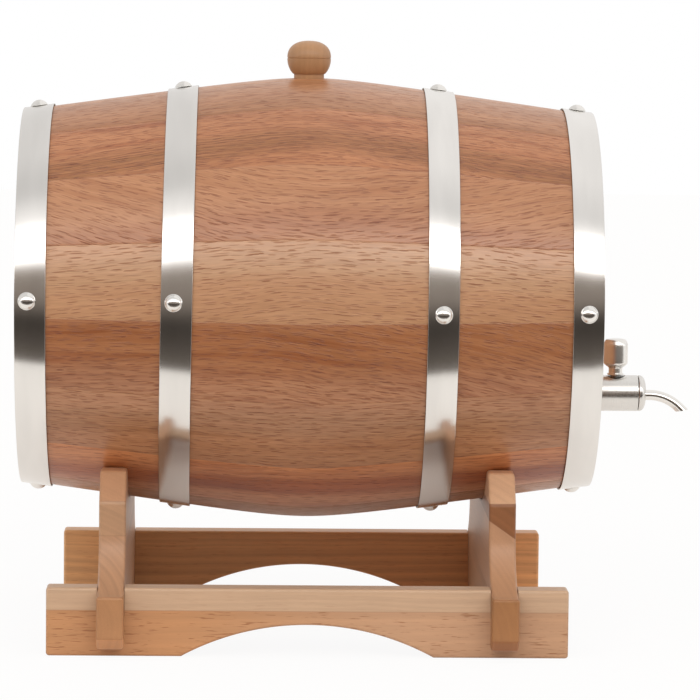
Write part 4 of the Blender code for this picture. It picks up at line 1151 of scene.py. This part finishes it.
def sawn(outline, thickness, direction, place):
    """A board sawn to an outline, with its edges rounded over."""
    bm = bmesh.new()
    face = bm.faces.new([bm.verts.new((x, -thickness / 2, z)) for x, z in outline])
    walls = bmesh.ops.extrude_face_region(bm, geom=[face])
    far_side = [item for item in walls["geom"] if isinstance(item, bmesh.types.BMVert)]
    bmesh.ops.translate(bm, verts=far_side, vec=(0, thickness, 0))
    bmesh.ops.recalc_face_normals(bm, faces=bm.faces)
    bmesh.ops.transform(bm, matrix=Matrix.Translation(place) @ direction, verts=bm.verts)
    obj = mesh_object("board", bm)
    bevel = obj.modifiers.new("eased", "BEVEL")
    bevel.width = WOOD_EASE
    bevel.segments = EASE_STEPS
    bevel.limit_method = "ANGLE"
    bevel.angle_limit = EASED_ANGLE
    return applied(obj)


def block(low, high):
    bm = bmesh.new()
    size = [b - a for a, b in zip(low, high)]
    middle = [(a + b) / 2 for a, b in zip(low, high)]
    bmesh.ops.create_cube(bm, size=1, matrix=Matrix.Translation(middle) @ Matrix.Diagonal((*size, 1)))
    return mesh_object("cutter", bm)


def halving(x, y, reach_x, reach_y, low, high):
    """A cutter where a rail and a saddle cross."""
    return block((STAND.x + x - reach_x, y - reach_y, low), (STAND.x + x + reach_x, y + reach_y, high))


def finish_board(board, oak, name):
    board.data.materials.clear()
    board.data.materials.append(oak)
    settle(f"oak_{name}", board, "stand", [name], 34)
    weighted = board.modifiers.new("even_shading", "WEIGHTED_NORMAL")
    weighted.keep_sharp = True


def make_stand(rail_oaks, saddle_oaks):
    for name, y, oak in zip(("left_rail", "right_rail"), (-RAIL_Y, RAIL_Y), rail_oaks):
        rail = sawn(rail_outline(), RAIL_THICKNESS, UPRIGHT, STAND + Vector((0, y, 0)))
        notches = [halving(x, y, SADDLE_THICKNESS / 2 + GAP / 2, RAIL_THICKNESS / 2 + SAW_OVER,
                           HALVING_HEIGHT, RAIL_HEIGHT + SAW_OVER) for x in (-SADDLE_X, SADDLE_X)]
        finish_board(cut(rail, *notches), oak, name)
    across = Matrix.Rotation(math.pi / 2, 4, "Z")
    for name, x, oak in zip(("rear_saddle", "front_saddle"), (-SADDLE_X, SADDLE_X), saddle_oaks):
        saddle = sawn(saddle_outline(), SADDLE_THICKNESS, across, STAND + Vector((x, 0, 0)))
        slots = [halving(x, y, SADDLE_THICKNESS / 2 + SAW_OVER, RAIL_THICKNESS / 2 + GAP / 2,
                         0, HALVING_HEIGHT + GAP) for y in (-RAIL_Y, RAIL_Y)]
        finish_board(cut(saddle, *slots), oak, name)


# Frame pieces that keep their shape

HEAD_BOARD_PITCH = 0.07
HEAD_CUT = (0.02, 0.0028, 0.2)

# Tone and redness of the three boards of a head
HEAD_LOOKS = ((0.93, 0.3), (1.0, 0.1), (0.88, 0.4))


def dress(node, material):
    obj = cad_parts[node]
    obj.data.materials.clear()
    obj.data.materials.append(material)


def dress_frame(steel, polished, rubber):
    upright = (0, math.radians(-90), 0)
    for end, side, seed in (("front", 1, 9), ("rear", -1, 31)):
        for number, (tone, redness) in enumerate(HEAD_LOOKS, 1):
            place = (CASK.x + side * HEAD_FACE_X, (number - 2) * HEAD_BOARD_PITCH, CASK.z)
            oak = board_oak(f"head_oak_{end}_{number}", place, upright,
                            (2.1 * number + seed, tone, redness), HEAD_CUT)
            dress(f"{end}_head_board_{number}", oak)
    for node, material in (("tap_inner_washer", rubber), ("tap_lock_nut", steel),
                           ("tap_valve_plug", polished), ("tap_lower_seal", rubber),
                           ("tap_upper_seal", rubber)):
        dress(node, material)


# Studio

STUDIO_STRENGTH = 2.4
WALL_LEVEL = 0.96

# Light of the studio by its turn in degrees: -90 is straight down, 0 is level on the camera's side, 90
# is overhead and 180 is level behind the cask
STUDIO_START, STUDIO_TURN = -90, 270
STUDIO_LEVELS = (
    (-90, 0.4), (-36, 0.13), (-30, 0.11), (-22, 0.075), (-14, 0.048), (-8, 0.055), (-4.5, 0.11),
    (0, 0.20), (4, 0.25), (15, 0.27), (19, 0.42), (21.5, 0.80), (25, 2.4), (38, 2.4), (46, 1.08),
    (63, 0.78), (90, 0.94), (160, 0.96), (180, 0.9),
)
DARK_TINT, BRIGHT_TINT = (1.0, 0.83, 0.70), (1.0, 0.97, 0.945)
TINT_SPLIT = 0.5

WHITE = (1, 1, 1)
WARM_WHITE = (1.0, 0.975, 0.94)
PAPER_DARK, PAPER_LIGHT = (0.88, 0.845, 0.80), (0.91, 0.875, 0.83)
FLOOR_HEIGHT = -0.0002
FLOOR_OUTLINE = ((-4, -0.316), (-0.35, -0.328), (-0.17, -0.345), (0.12, -0.340), (0.27, -0.313),
                 (4, -0.311), (4, 5), (-4, 5))


def studio_world():
    """A studio that is dark behind the camera, with a soft box above it and white walls at the sides."""
    world = bpy.data.worlds.new("studio")
    bpy.context.scene.world = world
    tree = bare_tree(world)
    x, y, z = tree.add("ShaderNodeTexCoord", {}, {}, "Generated").parts()
    over = z.maths("ARCTAN2", z, -y)

    def at(degrees):
        return (degrees - STUDIO_START) / STUDIO_TURN

    def light(level):
        tint = BRIGHT_TINT if level > TINT_SPLIT else DARK_TINT
        return tuple(part * level / STUDIO_STRENGTH for part in tint)

    plain = (over - math.radians(STUDIO_START)) / math.radians(STUDIO_TURN)
    rear = 1 - tree.step(x, -0.1, 0.1)
    turn = plain - (plain - at(8)) * rear * tree.step(plain, at(-16), at(-8)) * 0.09
    turn = turn + (1 - rear) * tree.step(plain, at(40), at(52)) * (8 / STUDIO_TURN)
    stops = [(at(degrees), light(level)) for degrees, level in STUDIO_LEVELS]
    glow = tree.add("ShaderNodeValToRGB", {"stops": stops}, {"Fac": turn})
    side = tree.step(x, 0.93, 0.99).most(tree.step(-x, 0.95, 0.995))
    wall = WALL_LEVEL / STUDIO_STRENGTH
    walls = tree.blend(side, glow, (wall, wall, wall), "LIGHTEN")
    in_box = tree.step(turn, at(20), at(24)) * (1 - tree.step(turn, at(38), at(48)))
    stronger = 1 + (0.05 + 0.8 * tree.step(x, 0.0, 0.45) * (1 - tree.step(x, 0.45, 0.7))) * in_box
    stronger = stronger * (1 - 0.16 * rear * tree.step(plain, at(56), at(80)))
    walls = tree.scaled(walls, stronger)
    studio = tree.add("ShaderNodeBackground", {}, {"Color": walls, "Strength": STUDIO_STRENGTH})
    white = tree.add("ShaderNodeBackground", {}, {"Color": WHITE, "Strength": 1.0})
    shown = tree.mixed(tree.ray("Camera"), studio, white)
    tree.add("ShaderNodeOutputWorld", {}, {"Surface": shown})


def floor_paper():
    """Pale paper: white to the camera and in the metal, with the object's soft shadow on it."""
    material = bpy.data.materials.new("floor_paper")
    tree = bare_tree(material)
    x, y, z = tree.spot().parts()
    tooth = tree.noise(x * 500, y * 500, z)
    colour = tree.blend(tooth, PAPER_DARK, PAPER_LIGHT)
    paper = tree.add("ShaderNodeBsdfPrincipled", {}, {"Base Color": colour, "Roughness": 0.9,
                                                      "Specular IOR Level": 0.0})
    camera, glossy, through = (tree.ray(kind) for kind in ("Camera", "Glossy", "Transmission"))
    white = tree.add("ShaderNodeEmission", {}, {"Color": WHITE, "Strength": 1.0})
    warm = tree.add("ShaderNodeEmission", {}, {"Color": WARM_WHITE, "Strength": 1.0})
    aside, behind = (x - STAND.x).alone("ABSOLUTE"), y.alone("ABSOLUTE")
    clear = tree.step(aside, 0.12, 0.17).most(tree.step(behind, 0.10, 0.15))
    shown = tree.mixed(glossy * (clear * 0.44 + 0.06), paper, warm)
    shown = tree.mixed(camera.most(through) * 0.92, shown, white)
    tree.add("ShaderNodeOutputMaterial", {}, {"Surface": shown})
    return material


def make_floor():
    bm = bmesh.new()
    bm.faces.new([bm.verts.new((x, y, FLOOR_HEIGHT)) for x, y in FLOOR_OUTLINE])
    floor = mesh_object("floor", bm, floor_paper())


def soft_lamp(name, place, aim, width, height, power):
    data = bpy.data.lights.new(name, "AREA")
    data.shape = "RECTANGLE"
    data.size = width
    data.size_y = height
    data.energy = power
    lamp = bpy.data.objects.new(name, data)
    bpy.context.scene.collection.objects.link(lamp)
    lamp.location = place
    lamp.rotation_mode = "QUATERNION"
    lamp.rotation_quaternion = (Vector(aim) - Vector(place)).to_track_quat("-Z", "Y")
    lamp.visible_glossy = False
    lamp.visible_camera = False


# Finishes of the bung and the stand. A board is glued up from strips, lowest first: (lower edge, lean
# of that edge, colour at each end, contrast of the rings, share of dark flecks). On the front saddle
# two strips are partly painted light and shade.

TAN = (0.50, 0.285, 0.165)
YELLOW = (0.474, 0.233, 0.103)
PINK = (0.505, 0.335, 0.215)
BUNG_TAN = (0.43, 0.232, 0.111)
ALONG_RAIL = (math.radians(90), 0, 0)
ALONG_SADDLE = (math.radians(90), 0, math.radians(90))
UP_THE_BUNG = (math.radians(90), math.radians(-90), 0)

# Name, place, turn, pith and strips of each board
STAND_BOARDS = (
    ("rail_oak_left", (STAND.x, -RAIL_Y, 0), ALONG_RAIL, (-0.030, 0.060), [
        (0, 0, YELLOW, (0.47, 0.27, 0.155), 0.30, 0.9),
        (0.0272, 0, PINK, PINK, 0.40, 0.15)]),
    ("rail_oak_right", (STAND.x, RAIL_Y, 0), ALONG_RAIL, (-0.050, -0.030), [
        (0, 0, (0.60, 0.325, 0.145), (0.61, 0.295, 0.118), 0.8, 0.4)]),
    ("saddle_oak_rear", (STAND.x - SADDLE_X, 0, 0), ALONG_SADDLE, (0.020, -0.030), [
        (0, 0, (0.50, 0.24, 0.105), TAN, 0.25, 0.1),
        (0.0125, 0, (0.38, 0.182, 0.078), TAN, 0.25, 0.1),
        (0.0372, 0, (0.445, 0.247, 0.14), TAN, 0.6, 0.05),
        (0.0675, 0, (0.42, 0.24, 0.135), TAN, 0.4, 0.05),
        (0.0880, 0, (0.455, 0.238, 0.127), TAN, 0.3, 0.1)]),
    ("saddle_oak_front", (STAND.x + SADDLE_X, 0, 0), ALONG_SADDLE, (0.010, -0.050), [
        (0, 0, (0.30, 0.115, 0.035), TAN, 0.4, 0.15),
        (0.0125, 0, (0.32, 0.14, 0.049), TAN, 0.4, 0.15),
        (0.0372, 0, (0.435, 0.234, 0.128), TAN, 0.3, 0.05),
        # Partly painted shade: this dark strip stands for the shade on the flank under the cask, over the
        # board's own figure. The pale strip above it is partly painted light on the chamfer that faces up.
        (0.0725, 0.7, (0.235, 0.09, 0.032), TAN, 0.4, 0.05),
        (0.0880, 0, (0.56, 0.325, 0.19), TAN, 0.3, 0.05)]),
)
BUNG_STRIP = (0, 0, BUNG_TAN, BUNG_TAN, 0.3, 0)

# Everything together

oak = stave_oak()
hoop = hoop_steel()
tap = turned_steel("tap_steel", 0.93)
shine = polished_steel("tap_polished")
rubber = seal_rubber()
group = coopered_tree()
make_staves(group, oak)
make_hoops(group, hoop)
make_nails(polished_steel("nail_steel", 0.12))
make_bung(stand_board("bung_wood", tuple(CREST), UP_THE_BUNG, (0.06, 0.01), [BUNG_STRIP]))
make_tap(tap, shine, rubber)
rail_left, rail_right, saddle_rear, saddle_front = (stand_board(*board) for board in STAND_BOARDS)
make_stand([rail_left, rail_right], [saddle_rear, saddle_front])
dress_frame(tap, shine, rubber)

studio_world()
make_floor()
soft_lamp("key_box", (-0.55, -1.45, 1.15), (0, 0, 0.18), 1.4, 0.8, 3.6)
soft_lamp("low_reflector", (0.05, -1.3, 0.10), (0, 0, 0.14), 1.6, 0.3, 1.2)
